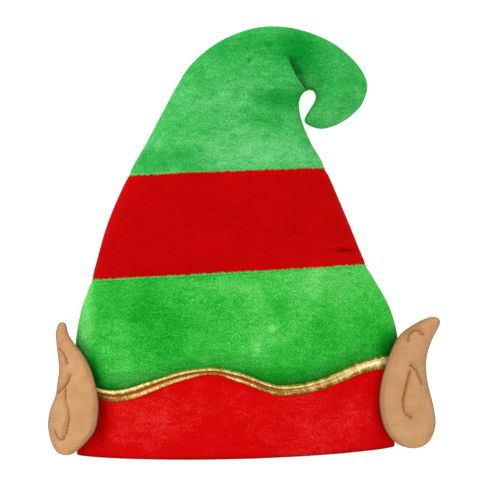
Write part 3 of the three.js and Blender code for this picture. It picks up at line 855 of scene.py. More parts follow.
def tip_of_crown():
    low_rows, low_insets = near_rows(STRIPE_SEAM, 1, 14)
    first = float(low_rows[-1].max())
    even = np.linspace(first, END - 0.06, TIP_ROWS)[1:]
    through_pleat = PLEAT_ROW + np.linspace(-0.2, 0.3, PLEAT_RINGS)
    clear = even[(even < through_pleat[0] - 0.03) | (even > through_pleat[-1] + 0.03)]
    upper = np.sort(np.concatenate([clear, through_pleat]))[:, None] + 0 * TURN_LIST[None, :]
    rings = np.concatenate([low_rows, upper])
    turn = np.broadcast_to(TURN_LIST[None, :], rings.shape)
    rows = pleat_rows(rings, turn)
    insets = np.concatenate([low_insets, -bend_gathers(rows[len(low_rows) :], turn[len(low_rows) :])])
    bare = inset_point(rows, turn, insets)
    raised = relief(bare, turn) * (1 - 0.6 * smoothstep(rows, 16, 20))
    outer, fold = pleated(inset_point(rows, turn, insets - raised), rings, turn)
    # painted shade in the pleat, in the hollows of the gathers and along the side seams
    fold = np.clip(fold + GATHER_SHADE * insets / GATHER_DEPTH * (rings > first), 0, 1)
    fold = np.maximum(fold, side_shade(turn))
    outer[..., 2] = np.maximum(outer[..., 2], 0)
    keep = [k for k in range(0, len(rows), 4) if rings[k].mean() < TIP_INSIDE_END]
    sunk = CLOTH + PLEAT_DEPTH * pleat_share(*section_place(turn[keep])) * np.exp(-(((rings[keep] - 12.6) / 1.6) ** 2))
    inner = inset_point(rows[keep], turn[keep], sunk)[::-1]
    rings = np.concatenate([inner, outer])
    end_outer = outer[-1].mean(0)
    end_inner = inner[0].mean(0)
    points = np.vstack([rings.reshape(-1, 3), end_outer, end_inner])
    faces, ring_of = ring_faces(len(rings), TURNS, loop=False)
    step = np.arange(TURNS)
    last = (len(rings) - 1) * TURNS
    cap = np.stack([last + step, last + (step + 1) % TURNS, np.full(TURNS, len(points) - 2), np.full(TURNS, len(points) - 2)], -1)
    floor = np.stack([(step + 1) % TURNS, step, np.full(TURNS, len(points) - 1), np.full(TURNS, len(points) - 1)], -1)
    quads = facing_out(points, np.concatenate([faces, cap, floor]))
    inside = np.concatenate([ring_of < len(inner) - 1, np.zeros(TURNS, bool), np.ones(TURNS, bool)])
    polygons = [list(dict.fromkeys(quad)) for quad in quads.tolist()]
    nap_and_shade = brushed_and_shaded_tone(points[:, 0], points[:, 1])
    fold_shade = np.zeros(len(points))
    fold_shade[len(inner) * TURNS : -2] = fold.ravel()
    return make_object("tip_plush", points, polygons, [tip_plush, green_backing], inside.astype(int), attributes={"nap_and_shade": nap_and_shade, "fold": fold_shade})


tip = tip_of_crown()
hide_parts("crown_tip")
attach(tip, "root")

# %% [markdown]
# ## The cuff
# A band of red plush outside the crown, folded in under the crown's edge at the hem. Its outer face runs up to the
# wave, the fold is a half round as thick as the cloth, and a short lip shows inside the mouth.

# %% Red cuff
FOLD_STEPS = 7
# painted shade along the hem's fold
HEM_SHADE = 0.45
HEM_SHADE_REACH = 1.6


def cuff_band():
    edge = cuff_edge(TURN_LIST)[None, :]
    radius = (CROWN_INSET + CLOTH) / 2
    fold = CLOTH / 2
    face = edge + (fold - edge) * np.linspace(0, 1, 34)[:, None]
    bend = np.linspace(0, np.pi / 2, FOLD_STEPS)[1:, None]
    low = fold * (1 - np.sin(bend)) + 0 * edge
    low_insets = fold * (1 - np.cos(bend)) + 0 * edge
    across = np.linspace(fold, 2 * radius - fold, 4)[1:-1, None] + 0 * edge
    lip_heights = fold * (1 - np.cos(bend)) + 0 * edge
    lip_insets = 2 * radius - fold + fold * np.sin(bend) + 0 * edge
    top = np.array([[CLOTH * 0.8], [CLOTH]]) + 0 * edge
    top_insets = np.array([[2 * radius], [2 * radius - 0.5]]) + 0 * edge
    back_heights = np.concatenate([np.full((1, 1), CLOTH) + 0 * edge, CLOTH + (edge - CLOTH) * np.linspace(0.1, 1, 12)[:, None]])
    heights = np.concatenate([face, low, 0 * across, lip_heights, top, back_heights])
    insets = np.concatenate([0 * face, low_insets, across, lip_insets, top_insets, CLOTH + 0 * back_heights])
    rows = row_at_height(TURN_LIST[None, :], heights)
    turn = np.broadcast_to(TURN_LIST[None, :], rows.shape)
    bare = inset_point(rows, turn, insets)
    raised = relief(bare, turn) * 0.8
    raised = raised * (1 - smoothstep(np.abs(heights - edge), 0, 6) * 0) * smoothstep(edge - heights, 0, 10)
    points = inset_point(rows, turn, insets - raised)
    points[..., 2] = np.maximum(points[..., 2], 0)
    points = points.reshape(-1, 3)
    faces, ring_of = ring_faces(len(rows), TURNS, loop=True)
    faces = facing_out(points, faces)
    hidden = ring_of >= len(rows) - len(back_heights)
    tone = brushed_and_shaded_tone(points[:, 0], points[:, 1])
    # painted shade along the hem's fold and down the side seams
    shade = HEM_SHADE * np.exp(-np.maximum(heights - fold, 0) / HEM_SHADE_REACH)
    shade = np.maximum(shade, side_shade(turn)).ravel()
    attributes = {"nap_and_shade": tone, "fold": shade}
    return make_object("cuff_plush", points, faces, [cuff_plush, red_backing], hidden.astype(int), attributes=attributes)


cuff = cuff_band()
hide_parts("cuff")
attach(cuff, "root")

# %% [markdown]
# ## Growing detail along a path
# Ribs, stitches and tufts repeat, so Geometry Nodes make them. Each tree gets its sizes as named inputs, is applied
# once, and leaves a plain mesh behind.

# %% Trees of Geometry Nodes
GEOMETRY = "NodeSocketGeometry"
FLOAT = "NodeSocketFloat"


def new_tree(name, sizes):
    """A tree with a geometry input, one number input for each size, and a geometry output."""
    tree = bpy.data.node_groups.new(name, "GeometryNodeTree")
    tree.interface.new_socket("Geometry", in_out="INPUT", socket_type=GEOMETRY)
    for label in sizes:
        tree.interface.new_socket(label, in_out="INPUT", socket_type=FLOAT)
    tree.interface.new_socket("Geometry", in_out="OUTPUT", socket_type=GEOMETRY)
    return tree, add_node(tree, "NodeGroupInput")


def finish_tree(tree, geometry, material):
    """Ends a tree in real geometry with its material."""
    real = add_node(tree, "GeometryNodeRealizeInstances", {"Geometry": geometry}).outputs[0]
    painted = add_node(tree, "GeometryNodeSetMaterial", {"Geometry": real, "Material": material}).outputs[0]
    add_node(tree, "NodeGroupOutput", {"Geometry": painted})


def grow(thing, tree, sizes):
    """Runs the tree on the object and keeps the result as its mesh."""
    modifier = thing.modifiers.new(tree.name, "NODES")
    modifier.node_group = tree
    identifiers = {item.name: item.identifier for item in tree.interface.items_tree if item.in_out == "INPUT"}
    for label, value in sizes.items():
        modifier[identifiers[label]] = float(value)
    graph = bpy.context.evaluated_depsgraph_get()
    grown = bpy.data.meshes.new_from_object(thing.evaluated_get(graph), preserve_all_data_layers=True, depsgraph=graph)
    thing.modifiers.remove(modifier)
    thing.data = grown
    grown.name = thing.name
    print(thing.name, "grown:", len(grown.polygons), "faces by", tree.name, sizes)


# %% [markdown]
# ## Tufts along the seams
# A seam in velour never looks cut: tufts of its pile stand out from between the two cloths and lie over the next one.
# In the hat the green is longer than the red, so a fine green sawtooth runs along both seams. Each tuft is a small
# cone with five sides, set on the seam line every millimetre or so, leaning over the red with some disorder.

# %% Green tufts
def line_object(name, lines, attributes=None):
    """Lines of points, in millimetres on the hat's form, as a mesh of edges. A closed line repeats its first point."""
    points = np.vstack(lines)
    starts = np.cumsum([0] + [len(line) for line in lines])
    edges = [(k, k + 1) for a, b in zip(starts[:-1], starts[1:]) for k in range(a, b - 1)]
    mesh = bpy.data.meshes.new(name)
    mesh.from_pydata(((points + OFFSET) * MM).tolist(), edges, [])
    for attribute, vectors in (attributes or {}).items():
        layer = mesh.attributes.new(attribute, "FLOAT_VECTOR", "POINT")
        layer.data.foreach_set("vector", np.asarray(vectors, dtype=np.float32).ravel())
    made = bpy.data.objects.new(name, mesh)
    bpy.context.scene.collection.objects.link(made)
    return made


def on_relief(rows, turn, inset):
    """Points this far below the cloth's bulging face."""
    return inset_point(rows, turn, inset - relief(inset_point(rows, turn, inset), turn + 0 * rows))


def spaced_points(tree, start):
    line = add_node(tree, "GeometryNodeMeshToCurve", {"Mesh": start.outputs["Geometry"]}).outputs[0]
    values = {"Curve": line, "Length": start.outputs["Spacing"]}
    return add_node(tree, "GeometryNodeResampleCurve", values, mode="LENGTH").outputs[0]


def tuft_tree():
    tree, start = new_tree("tufts along a seam", ["Spacing", "Length", "Thickness", "Disorder", "Paleness", "Seed"])
    seed = start.outputs["Seed"]
    cone = {"Vertices": 5, "Radius Top": 0.0, "Radius Bottom": start.outputs["Thickness"], "Depth": start.outputs["Length"]}
    cone = add_node(tree, "GeometryNodeMeshCone", cone).outputs["Mesh"]
    pale = {"Geometry": cone, "Name": "nap_and_shade", "Value": start.outputs["Paleness"]}
    tuft = add_node(tree, "GeometryNodeStoreNamedAttribute", pale, data_type="FLOAT").outputs["Geometry"]
    lean = add_node(tree, "GeometryNodeInputNamedAttribute", {"Name": "lean"}, data_type="FLOAT_VECTOR").outputs["Attribute"]
    stray = add_node(tree, "FunctionNodeRandomValue", {0: (-1, -1, -1), 1: (1, 1, 1), "Seed": seed}, data_type="FLOAT_VECTOR")
    strayed = {0: stray.outputs[0], "Scale": start.outputs["Disorder"]}
    stray = add_node(tree, "ShaderNodeVectorMath", strayed, operation="SCALE").outputs[0]
    aim = add_node(tree, "ShaderNodeVectorMath", {0: lean, 1: stray}, operation="ADD").outputs[0]
    turned = add_node(tree, "FunctionNodeAlignRotationToVector", {"Vector": aim}, axis="Z").outputs[0]
    size = add_node(tree, "FunctionNodeRandomValue", {2: 0.6, 3: 1.3, "Seed": seed}).outputs[1]
    values = {"Points": spaced_points(tree, start), "Instance": tuft, "Rotation": turned, "Scale": size}
    finish_tree(tree, add_node(tree, "GeometryNodeInstanceOnPoints", values).outputs[0], base_plush)
    return tree


TUFT_SINK = 0.7
TUFT_ROOT = 0.8  # millimetres back from the seam
TUFT_SIZES = {"Spacing": 0.6 * MM, "Length": 2.1 * MM, "Thickness": 0.5 * MM, "Disorder": 0.25, "Paleness": 0.7, "Seed": 3}
tufts = tuft_tree()
for name, seam, direction in (("base_seam_tufts", BASE_SEAM, 1), ("stripe_seam_tufts", STRIPE_SEAM, -1)):
    reach = (-TUFT_ROOT, 1.0)
    here, ahead = (on_relief(seam_side(seam, direction * d), TURN_LIST[None, :], TUFT_SINK)[0] for d in reach)
    here[:, 2] = np.maximum(here[:, 2], 0.6)
    lean = ahead - here
    lean /= np.linalg.norm(lean, axis=-1, keepdims=True)
    seam_tufts = line_object(name, [np.vstack([here, here[:1]])], {"lean": np.vstack([lean, lean[:1]])})
    grow(seam_tufts, tufts, TUFT_SIZES)
    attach(seam_tufts, "root")

# %% [markdown]
# ## Gilt ribbon
# The cuff's edge is bound with lamé, a ribbon woven with flat metallised strips. Folded over the edge, it has a round
# bead at the top, a valley where it is sewn, and a flatter bead below it. Its strips run across it as fine ribs,
# and each rib catches the light by itself, because a metal shows its shape far more than its colour. So the ribs are
# geometry: a tree moves the ribbon's surface in and out along its length, each rib by its own amount, and the shader
# also paints each rib lighter or darker, with painted glints from fine noise as well. The valley's rust colour is a
# painted reflection of the red cuff and the thread. The beads get a painted shine. Over the middle crest the lower bead
# is tucked in and painted in the valley's colour as shade, and to the right of it the ribbon lies flat and shows one
# broad painted highlight with painted darker edges.

# %% Gilt material
def gilt():
    material, tree, shader = new_material("metallised lame ribbon, woven, gold")
    place = add_node(tree, "ShaderNodeTexCoord").outputs["Object"]
    # fine noise: the strips' bumps, and painted glints in the colour
    strips_and_glints = object_noise(tree, place, 2.2, detail=3, roughness=0.75)
    worn = object_noise(tree, place, 9, detail=2)
    stops = [(0.08, "5E3A08"), (0.34, "9A7018"), (0.55, "CDA93A"), (0.8, "F8E68A"), (1.0, "FFFBD0")]
    painted_shine = add_node(tree, "ShaderNodeAttribute", attribute_name="painted_shine").outputs["Fac"]
    rib = add_node(tree, "ShaderNodeAttribute", attribute_name="rib").outputs["Fac"]
    shown = add_node(tree, "ShaderNodeAttribute", attribute_name="showing").outputs["Fac"]
    # painted glints: each rib is painted lighter or darker along its wave, and by an amount of its own
    turned = add_node(tree, "ShaderNodeMath", {0: rib, 1: 2 * math.pi}, operation="MULTIPLY").outputs[0]
    wave = add_node(tree, "ShaderNodeMath", {0: turned}, operation="COSINE").outputs[0]
    wave = add_node(tree, "ShaderNodeMath", {0: wave, 1: shown}, operation="MULTIPLY").outputs[0]
    number = add_node(tree, "ShaderNodeMath", {0: rib}, operation="ROUND").outputs[0]
    own = add_node(tree, "ShaderNodeTexWhiteNoise", {"W": number}, noise_dimensions="1D").outputs["Value"]
    own = add_node(tree, "ShaderNodeMath", {0: own, 1: 0.5}, operation="SUBTRACT").outputs[0]
    tone = mixed(tree, (strips_and_glints, 1.25), (worn, 0.6))
    # painted_shine is a painted highlight on the beads and the flat band
    for share, weight in ((painted_shine, 0.42), (wave, 0.2), (own, 0.25)):
        tone = add_node(tree, "ShaderNodeMath", {0: share, 1: weight, 2: tone}, operation="MULTIPLY_ADD").outputs[0]
    colour = ramp(tree, tone, stops)
    # painted reflection of the red cuff and the thread in the valley
    valley = add_node(tree, "ShaderNodeAttribute", attribute_name="valley").outputs["Fac"]
    mix = add_node(tree, "ShaderNodeMix", {"Factor": valley, "A": colour, "B": linear("A0430F")}, data_type="RGBA")
    tree.links.new(mix.outputs["Result"], shader.inputs["Base Color"])
    bump = add_node(tree, "ShaderNodeBump", {"Height": strips_and_glints, "Strength": 0.4, "Distance": 0.4 * MM})
    tree.links.new(bump.outputs[0], shader.inputs["Normal"])
    shader.inputs["Metallic"].default_value = 0.5
    shader.inputs["Roughness"].default_value = 0.28
    return material


gilt_ribbon = gilt()

# %% Ribbon over the cuff's edge
# height from the cuff's edge, how far the ribbon stands in front of the cuff's face, and how far it is a valley
RIBBON_SECTION = [
    (-6.0, 0.3, 0),
    (-6.05, 1.0, 0),
    (-5.7, 1.6, 0),
    (-4.9, 1.95, 0),
    (-4.0, 2.0, 0),
    (-3.1, 1.7, 0.45),
    (-2.4, 1.3, 0.9),
    (-1.7, 0.95, 1),
    (-1.0, 1.0, 1),
    (-0.4, 1.5, 0.95),
    (0.1, 2.2, 0.6),
    (0.8, 2.65, 0),
    (1.6, 2.65, 0),
    (2.4, 2.25, 0),
    (3.1, 1.4, 0),
    (3.4, 0.3, 0),
    (3.4, -0.9, 0),
    (3.1, -2.2, 0),
    (2.0, -3.3, 0),
    (-4.2, -3.4, 0),
    (-4.2, -2.6, 0),
    (0.35, -2.6, 0),
    (0.35, 0.3, 0),
]
# by turn: how wide the lower bead shows, how deep the valley is, how wide the upper bead shows, and how
# much painted shine the upper and the lower bead get
RIBBON_LIE = np.array(
    [
        (0.0, 1.0, 0.6, 1.0, 0.6, -0.3),
        (0.1, 1.0, 0.9, 1.1, 0.7, -0.8),
        (0.13, 1.0, 0.95, 1.25, 0.6, -0.2),
        (0.16, 1.05, 1.0, 1.3, 0.4, 0.5),
        (0.19, 0.95, 1.0, 0.8, 0.4, 0.3),
        (0.21, 0.8, 1.0, 0.75, 0.4, 0.3),
        (0.223, 0.5, 1.0, 0.75, 0.4, 0.0),
        (0.236, 0.48, 1.0, 0.75, 0.4, 0.0),
        (0.25, 0.85, 1.0, 0.8, 0.5, 0.6),
        (0.27, 0.95, 1.0, 0.8, 0.6, -0.1),
        (0.31, 1.0, 0.6, 0.65, 0.7, -0.7),
        (0.345, 1.05, 0.45, 1.15, 0.1, -0.3),
        (0.375, 1.1, 0.0, 1.3, 0.0, 0.0),
        (0.4, 1.3, 0.0, 0.8, 0.0, 0.0),
        (0.435, 1.5, 0.0, 0.8, 0.0, 0.0),
        (0.47, 1.3, 0.0, 0.8, 0.0, 0.0),
        (0.6, 1.0, 0.7, 1.0, 0.5, 0.0),
        (1.0, 1.0, 0.6, 1.0, 0.6, -0.3),
    ]
)
RIBBON_LOFT = 2.1
# painted highlight on the flat band's middle, and painted shade on its edges
FLAT_SHINE = 1.5  # of the flat band's middle against its edges, and how dark those are
FLAT_EDGE = 0.35
RIB_PITCH = 1.6
STEPS_PER_RIB = 5


def ribbon():
    probe = inset_point(row_at_height(TURN_LIST, cuff_edge(TURN_LIST)), TURN_LIST, -BINDING_PROUD)
    closed = np.vstack([probe, probe[:1]])
    lengths = np.concatenate([[0], np.cumsum(np.linalg.norm(np.diff(closed, axis=0), axis=1))])
    ribs = int(lengths[-1] / RIB_PITCH)
    along = np.linspace(0, lengths[-1], STEPS_PER_RIB * ribs, endpoint=False)
    turn = np.interp(along, lengths, np.concatenate([TURN_LIST, [1.0]]))[:, None]
    heights, proud, valley = np.array(RIBBON_SECTION).T
    lie = [np.interp(turn, RIBBON_LIE[:, 0], column) for column in RIBBON_LIE[:, 1:].T]
    lower, sunk, upper, upper_shine, lower_shine = lie
    # painted highlight and shade: bright beads and flat middle, darker edges
    flat_shine = FLAT_SHINE * np.exp(-(((heights + 0.6) / 2.3) ** 4)) - FLAT_EDGE
    beads_shine = smoothstep(heights, 0.2, 0.9) * upper_shine + smoothstep(-heights, 2.2, 3.2) * lower_shine
    painted_shine = (beads_shine * sunk + flat_shine * (1 - sunk)) * (proud > 0)
    proud = proud + valley * (1 - sunk) * (RIBBON_LOFT - proud)
    # the tucked lower bead is painted in the valley's colour, as shade
    tucked = (1 - smoothstep(lower, 0.45, 0.8)) * (proud > 0)
    valley = np.maximum(valley * sunk, 0.8 * tucked * smoothstep(-heights, 0.4, 1.0) * smoothstep(heights, -5.8, -5.0))
    proud = proud - tucked * 0.6 * smoothstep(-heights, 1.7, 3.1) * (heights > -5.5)
    heights = np.where(heights < 0, heights * lower, np.where(proud > 0, heights * upper, heights))
    rows = row_at_height(turn, cuff_edge(turn) + heights)
    points = inset_point(rows, turn + 0 * rows, -proud)
    points[..., 2] = np.maximum(points[..., 2], 0)
    faces, _ = ring_faces(len(rows), len(RIBBON_SECTION), loop=True)
    flat = points.reshape(-1, 3)
    # Strips lean over the lower bead, so their count along the ribbon runs on a little from top to bottom.
    slanted = along[:, None] + 0.45 * heights
    showing = (proud > 0.5) * (1 - 0.7 * np.maximum(painted_shine, 0) * sunk) * (0.5 + 0.3 * sunk)
    print("ribs:", ribs, "round", round(float(lengths[-1])), "mm of edge")
    attributes = {
        "rib": (slanted / (lengths[-1] / ribs)).ravel(),
        "valley": valley.ravel(),
        "showing": showing.ravel(),
        "painted_shine": painted_shine.ravel(),
    }
    return make_object("gilt_ribbon_binding", flat, facing_out(flat, faces), [gilt_ribbon], attributes=attributes)


def rib_tree():
    """Moves the surface along its normal by a wave in the rib attribute, each rib by a size of its own."""
    tree, start = new_tree("ribs of the ribbon", ["Rib height", "Seed"])
    rib = add_node(tree, "GeometryNodeInputNamedAttribute", {"Name": "rib"}, data_type="FLOAT").outputs["Attribute"]
    showing = add_node(tree, "GeometryNodeInputNamedAttribute", {"Name": "showing"}, data_type="FLOAT").outputs["Attribute"]
    number = add_node(tree, "ShaderNodeMath", {0: rib}, operation="ROUND").outputs[0]
    own = add_node(tree, "FunctionNodeRandomValue", {2: 0.25, 3: 1.0, "ID": number, "Seed": start.outputs["Seed"]})
    turned = add_node(tree, "ShaderNodeMath", {0: rib, 1: 2 * math.pi}, operation="MULTIPLY").outputs[0]
    wave = add_node(tree, "ShaderNodeMath", {0: turned}, operation="COSINE").outputs[0]
    height = start.outputs["Rib height"]
    for factor in (own.outputs[1], showing, height):
        wave = add_node(tree, "ShaderNodeMath", {0: wave, 1: factor}, operation="MULTIPLY").outputs[0]
    normal = add_node(tree, "GeometryNodeInputNormal").outputs[0]
    offset = add_node(tree, "ShaderNodeVectorMath", {0: normal, "Scale": wave}, operation="SCALE").outputs[0]
    moved = add_node(tree, "GeometryNodeSetPosition", {"Geometry": start.outputs["Geometry"], "Offset": offset}).outputs[0]
    finish_tree(tree, moved, gilt_ribbon)
    return tree


binding = ribbon()
grow(binding, rib_tree(), {"Rib height": 0.24 * MM, "Seed": 7})
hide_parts("gilt_binding")
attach(binding, "root")

# %% [markdown]
# ## Ears
# Each ear is two layers of tan jersey with wadding between them, turned through and sewn flat along a few lines that
# draw the folds of an ear. It lies over the hat's flank and the cuff's edge, and droops to the floor beside them.
# Both faces are drawn on one grid between the ear's inner and outer edges. The back lies on a seat that follows the
# hat, and the front swells over it, except along the sewn lines, where it is pulled in.

# %% Seat of an ear on the hat
EAR_LENGTH = 119.0
EAR_DEPTH = 9.0
EAR_BACK_SHARE = 0.35
EAR_GIVE = 3.0
STITCH_DEPTH = 3.0
STITCH_SPREAD = 2.6
RIM_SEAM = 3.8  # from the edge that faces the hat
RIM_SEAM_DEPTH = 0.4
# painted shade towards the ear's rim: how dark, and how far in it reaches
RIM_SHADE = 0.8
RIM_SHADE_REACH = 2.2
EASINGS = 60  # rounds that even out, on the front, what the back lies on
MAX_STEEPNESS = 1.6
EAR_ROWS = 96
EAR_STEPS = 44


def soft_max(a, b, blend):
    both = (a + b + np.hypot(a - b, blend)) / 2
    return np.where(np.isfinite(a), both, b)


def front_height(x, y):
    """Height of the hat's front with its binding, under points in plan; minus infinity beside the hat."""
    low = np.zeros(np.shape(x))
    high = np.full(np.shape(x), float(STRIPE_SEAM))

    def across_at(row):
        section = section_at(row)
        left, right = section[..., 0], section[..., 2]
        return np.clip(2 * (x - left) / (right - left) - 1, -1, 1)

    for _ in range(HALVINGS):
        middle = (low + high) / 2
        below = plan_point(middle, across_at(middle))[1] < y
        low = np.where(below, middle, low)
        high = np.where(below, high, middle)
    across = across_at(low)
    off = (np.abs(across) >= 1) | (y < plan_point(0 * low, across)[1])
    turn = np.arccos(np.clip(-np.sign(across) * np.abs(across) ** (FRONT_ROUND / 2), -1, 1)) / (2 * np.pi)
    from_edge = np.abs(height_above_hem(low, across) - cuff_edge(turn))
    over = BINDING_PROUD * (1 - smoothstep(from_edge, BINDING_WIDTH, 1.8 * BINDING_WIDTH))
    here, near = form_point(low, turn), form_point(low, turn + NUDGE)
    slope = (near[..., 2] - here[..., 2]) / np.where(near[..., 0] == here[..., 0], 1e-9, near[..., 0] - here[..., 0])
    steep = np.minimum(MAX_STEEPNESS, np.hypot(1, slope))
    return np.where(off, -np.inf, here[..., 2] + (over + SEAM_GAP) * steep)


def ear_seat(ear, x, y):
    """The function that gives the height of the ear's back over the plan."""

    def plane(px):
        return -ear["side"] * (px - ear["sewn_at"][0] * HAT_WIDTH) * math.tan(math.radians(ear["droop"]))

    lift = float(np.max(front_height(x, y) - plane(x))) - EAR_GIVE

    def seat(px, py):
        return soft_max(soft_max(front_height(px, py), plane(px) + lift, EAR_GIVE), 0 * px, EAR_GIVE / 2)

    return seat


# %% Outlines and sewn lines of the ears
# inner out and up, outer out and up, as shares of EAR_LENGTH from the point where the ear is sewn on
EARS = [
    {
        "name": "left",
        "side": -1,
        "sewn_at": (-0.505, 0.138),
        "droop": 42,
        "outline": [
            (0.078, -0.424, 0.078, -0.424),
            (0.026, -0.413, 0.126, -0.412),
            (-0.019, -0.383, 0.163, -0.375),
            (-0.095, -0.311, 0.195, -0.303),
            (-0.163, -0.216, 0.213, -0.205),
            (-0.189, -0.091, 0.197, -0.091),
            (-0.188, 0.015, 0.152, 0.023),
            (-0.167, 0.121, 0.139, 0.106),
            (-0.129, 0.239, 0.123, 0.227),
            (-0.068, 0.345, 0.133, 0.326),
            (0.0, 0.424, 0.145, 0.424),
            (0.047, 0.492, 0.15, 0.5),
            (0.062, 0.55, 0.136, 0.55),
            (0.073, 0.573, 0.124, 0.573),
            (0.099, 0.583, 0.099, 0.583),
        ],
        "stitches": [
            [(0.11, 0.377), (0.087, 0.35), (0.066, 0.314), (0.055, 0.27)],
            [(0.03, 0.182), (0.05, 0.13), (0.08, 0.094), (0.123, 0.05)],
            [(0.069, 0.094), (0.066, -0.01), (0.045, -0.08), (0.042, -0.16), (0.062, -0.253)],
            [(0.15, -0.246), (0.125, -0.295), (0.09, -0.3), (0.075, -0.28)],
        ],
    },
    {
        "name": "right",
        "side": 1,
        "sewn_at": (0.511, 0.138),
        "droop": 33,
        "outline": [
            (0.125, -0.37, 0.125, -0.37),
            (0.06, -0.361, 0.188, -0.357),
            (-0.011, -0.33, 0.242, -0.318),
            (-0.08, -0.261, 0.28, -0.242),
            (-0.129, -0.159, 0.289, -0.159),
            (-0.152, -0.015, 0.264, -0.023),
            (-0.14, 0.129, 0.227, 0.121),
            (-0.1, 0.276, 0.213, 0.258),
            (-0.042, 0.414, 0.23, 0.364),
            (0.023, 0.505, 0.258, 0.439),
            (0.146, 0.583, 0.295, 0.508),
            (0.231, 0.616, 0.322, 0.561),
            (0.262, 0.62, 0.326, 0.587),
            (0.311, 0.614, 0.311, 0.614),
        ],
        "stitches": [
            [(0.07, 0.442), (0.078, 0.487), (0.13, 0.521), (0.182, 0.492)],
            [(0.085, 0.261), (0.125, 0.225), (0.145, 0.18), (0.175, 0.117)],
            [(0.083, 0.218), (0.052, 0.109), (0.027, -0.014), (0.04, -0.09), (0.09, -0.137)],
        ],
    },
]


def ear_plan(ear, pairs):
    pairs = np.asarray(pairs, float)
    out = ear["sewn_at"][0] * HAT_WIDTH + ear["side"] * pairs[..., 0] * EAR_LENGTH
    return np.stack([out, ear["sewn_at"][1] * HAT_HEIGHT + pairs[..., 1] * EAR_LENGTH], -1)


def smooth_line(points, count=40):
    """A line of points rounded by a Catmull-Rom curve."""
    points = np.asarray(points, float)
    return row_curve(points)(np.linspace(0, len(points) - 1, count))


print("ears:", [ear["name"] for ear in EARS])

# %% [markdown]
# The jersey's rows of loops show as fine ribs across the ear, 1.6 mm apart. Along the sewn lines the cloth is painted
# darker, because the fold there keeps the light out, and towards its rim and edges it is painted darker too. The mesh
# carries this painted shade, from how close each point is to a sewn line and to the rim.

# %% Ear material
KNIT_PITCH = 1.6


def jersey():
    material, tree, shader = new_material("rib jersey, polyester knit, tan")
    place = add_node(tree, "ShaderNodeTexCoord").outputs["Object"]
    # A wave texture repeats every 0.314 divided by its scale
    wave = {"Vector": place, "Scale": 0.314 / (KNIT_PITCH * MM), "Distortion": 0.6, "Detail": 1, "Detail Scale": 0.3}
    ribs = add_node(tree, "ShaderNodeTexWave", wave, bands_direction="Y").outputs["Fac"]
    fuzz = object_noise(tree, place, 1.2, detail=2)
    clouds = object_noise(tree, place, 20, detail=2)
    tone = mixed(tree, (ribs, 0.3), (fuzz, 0.35), (clouds, 0.35))
    colour = ramp(tree, tone, [(0.2, "B6814F"), (0.5, "D19C68"), (0.8, "E2B486")])
    # painted shade along the sewn lines and at the edges, towards 8C4A1C
    sewn = add_node(tree, "ShaderNodeAttribute", attribute_name="sewn").outputs["Fac"]
    mix = add_node(tree, "ShaderNodeMix", {"Factor": sewn}, data_type="RGBA")
    tree.links.new(colour, mix.inputs["A"])
    mix.inputs["B"].default_value = linear("8C4A1C")
    # painted shade towards the rim, towards 6E4E34
    rim = add_node(tree, "ShaderNodeAttribute", attribute_name="rim").outputs["Fac"]
    shades = {"Factor": rim, "A": mix.outputs["Result"], "B": linear("6E4E34")}
    shaded = add_node(tree, "ShaderNodeMix", shades, data_type="RGBA")
    tree.links.new(shaded.outputs["Result"], shader.inputs["Base Color"])
    bump = add_node(tree, "ShaderNodeBump", {"Height": ribs, "Strength": 0.35, "Distance": 0.4 * MM})
    tree.links.new(bump.outputs[0], shader.inputs["Normal"])
    shader.inputs["Roughness"].default_value = 0.88
    shader.inputs["Specular IOR Level"].default_value = 0.2
    shader.inputs["Sheen Weight"].default_value = 0.25
    shader.inputs["Sheen Tint"].default_value = linear("F6DCC0")
    return material


ear_jersey = jersey()


# %% Ear meshes
def eased_grid(grid):
    """The grid with its kinks evened out, as wadding does for what lies under it."""
    for _ in range(EASINGS):
        wide = np.pad(grid, 1, mode="edge")
        grid = (wide[:-2, 1:-1] + wide[2:, 1:-1] + wide[1:-1, :-2] + wide[1:-1, 2:]) / 8 + grid / 2
    return grid


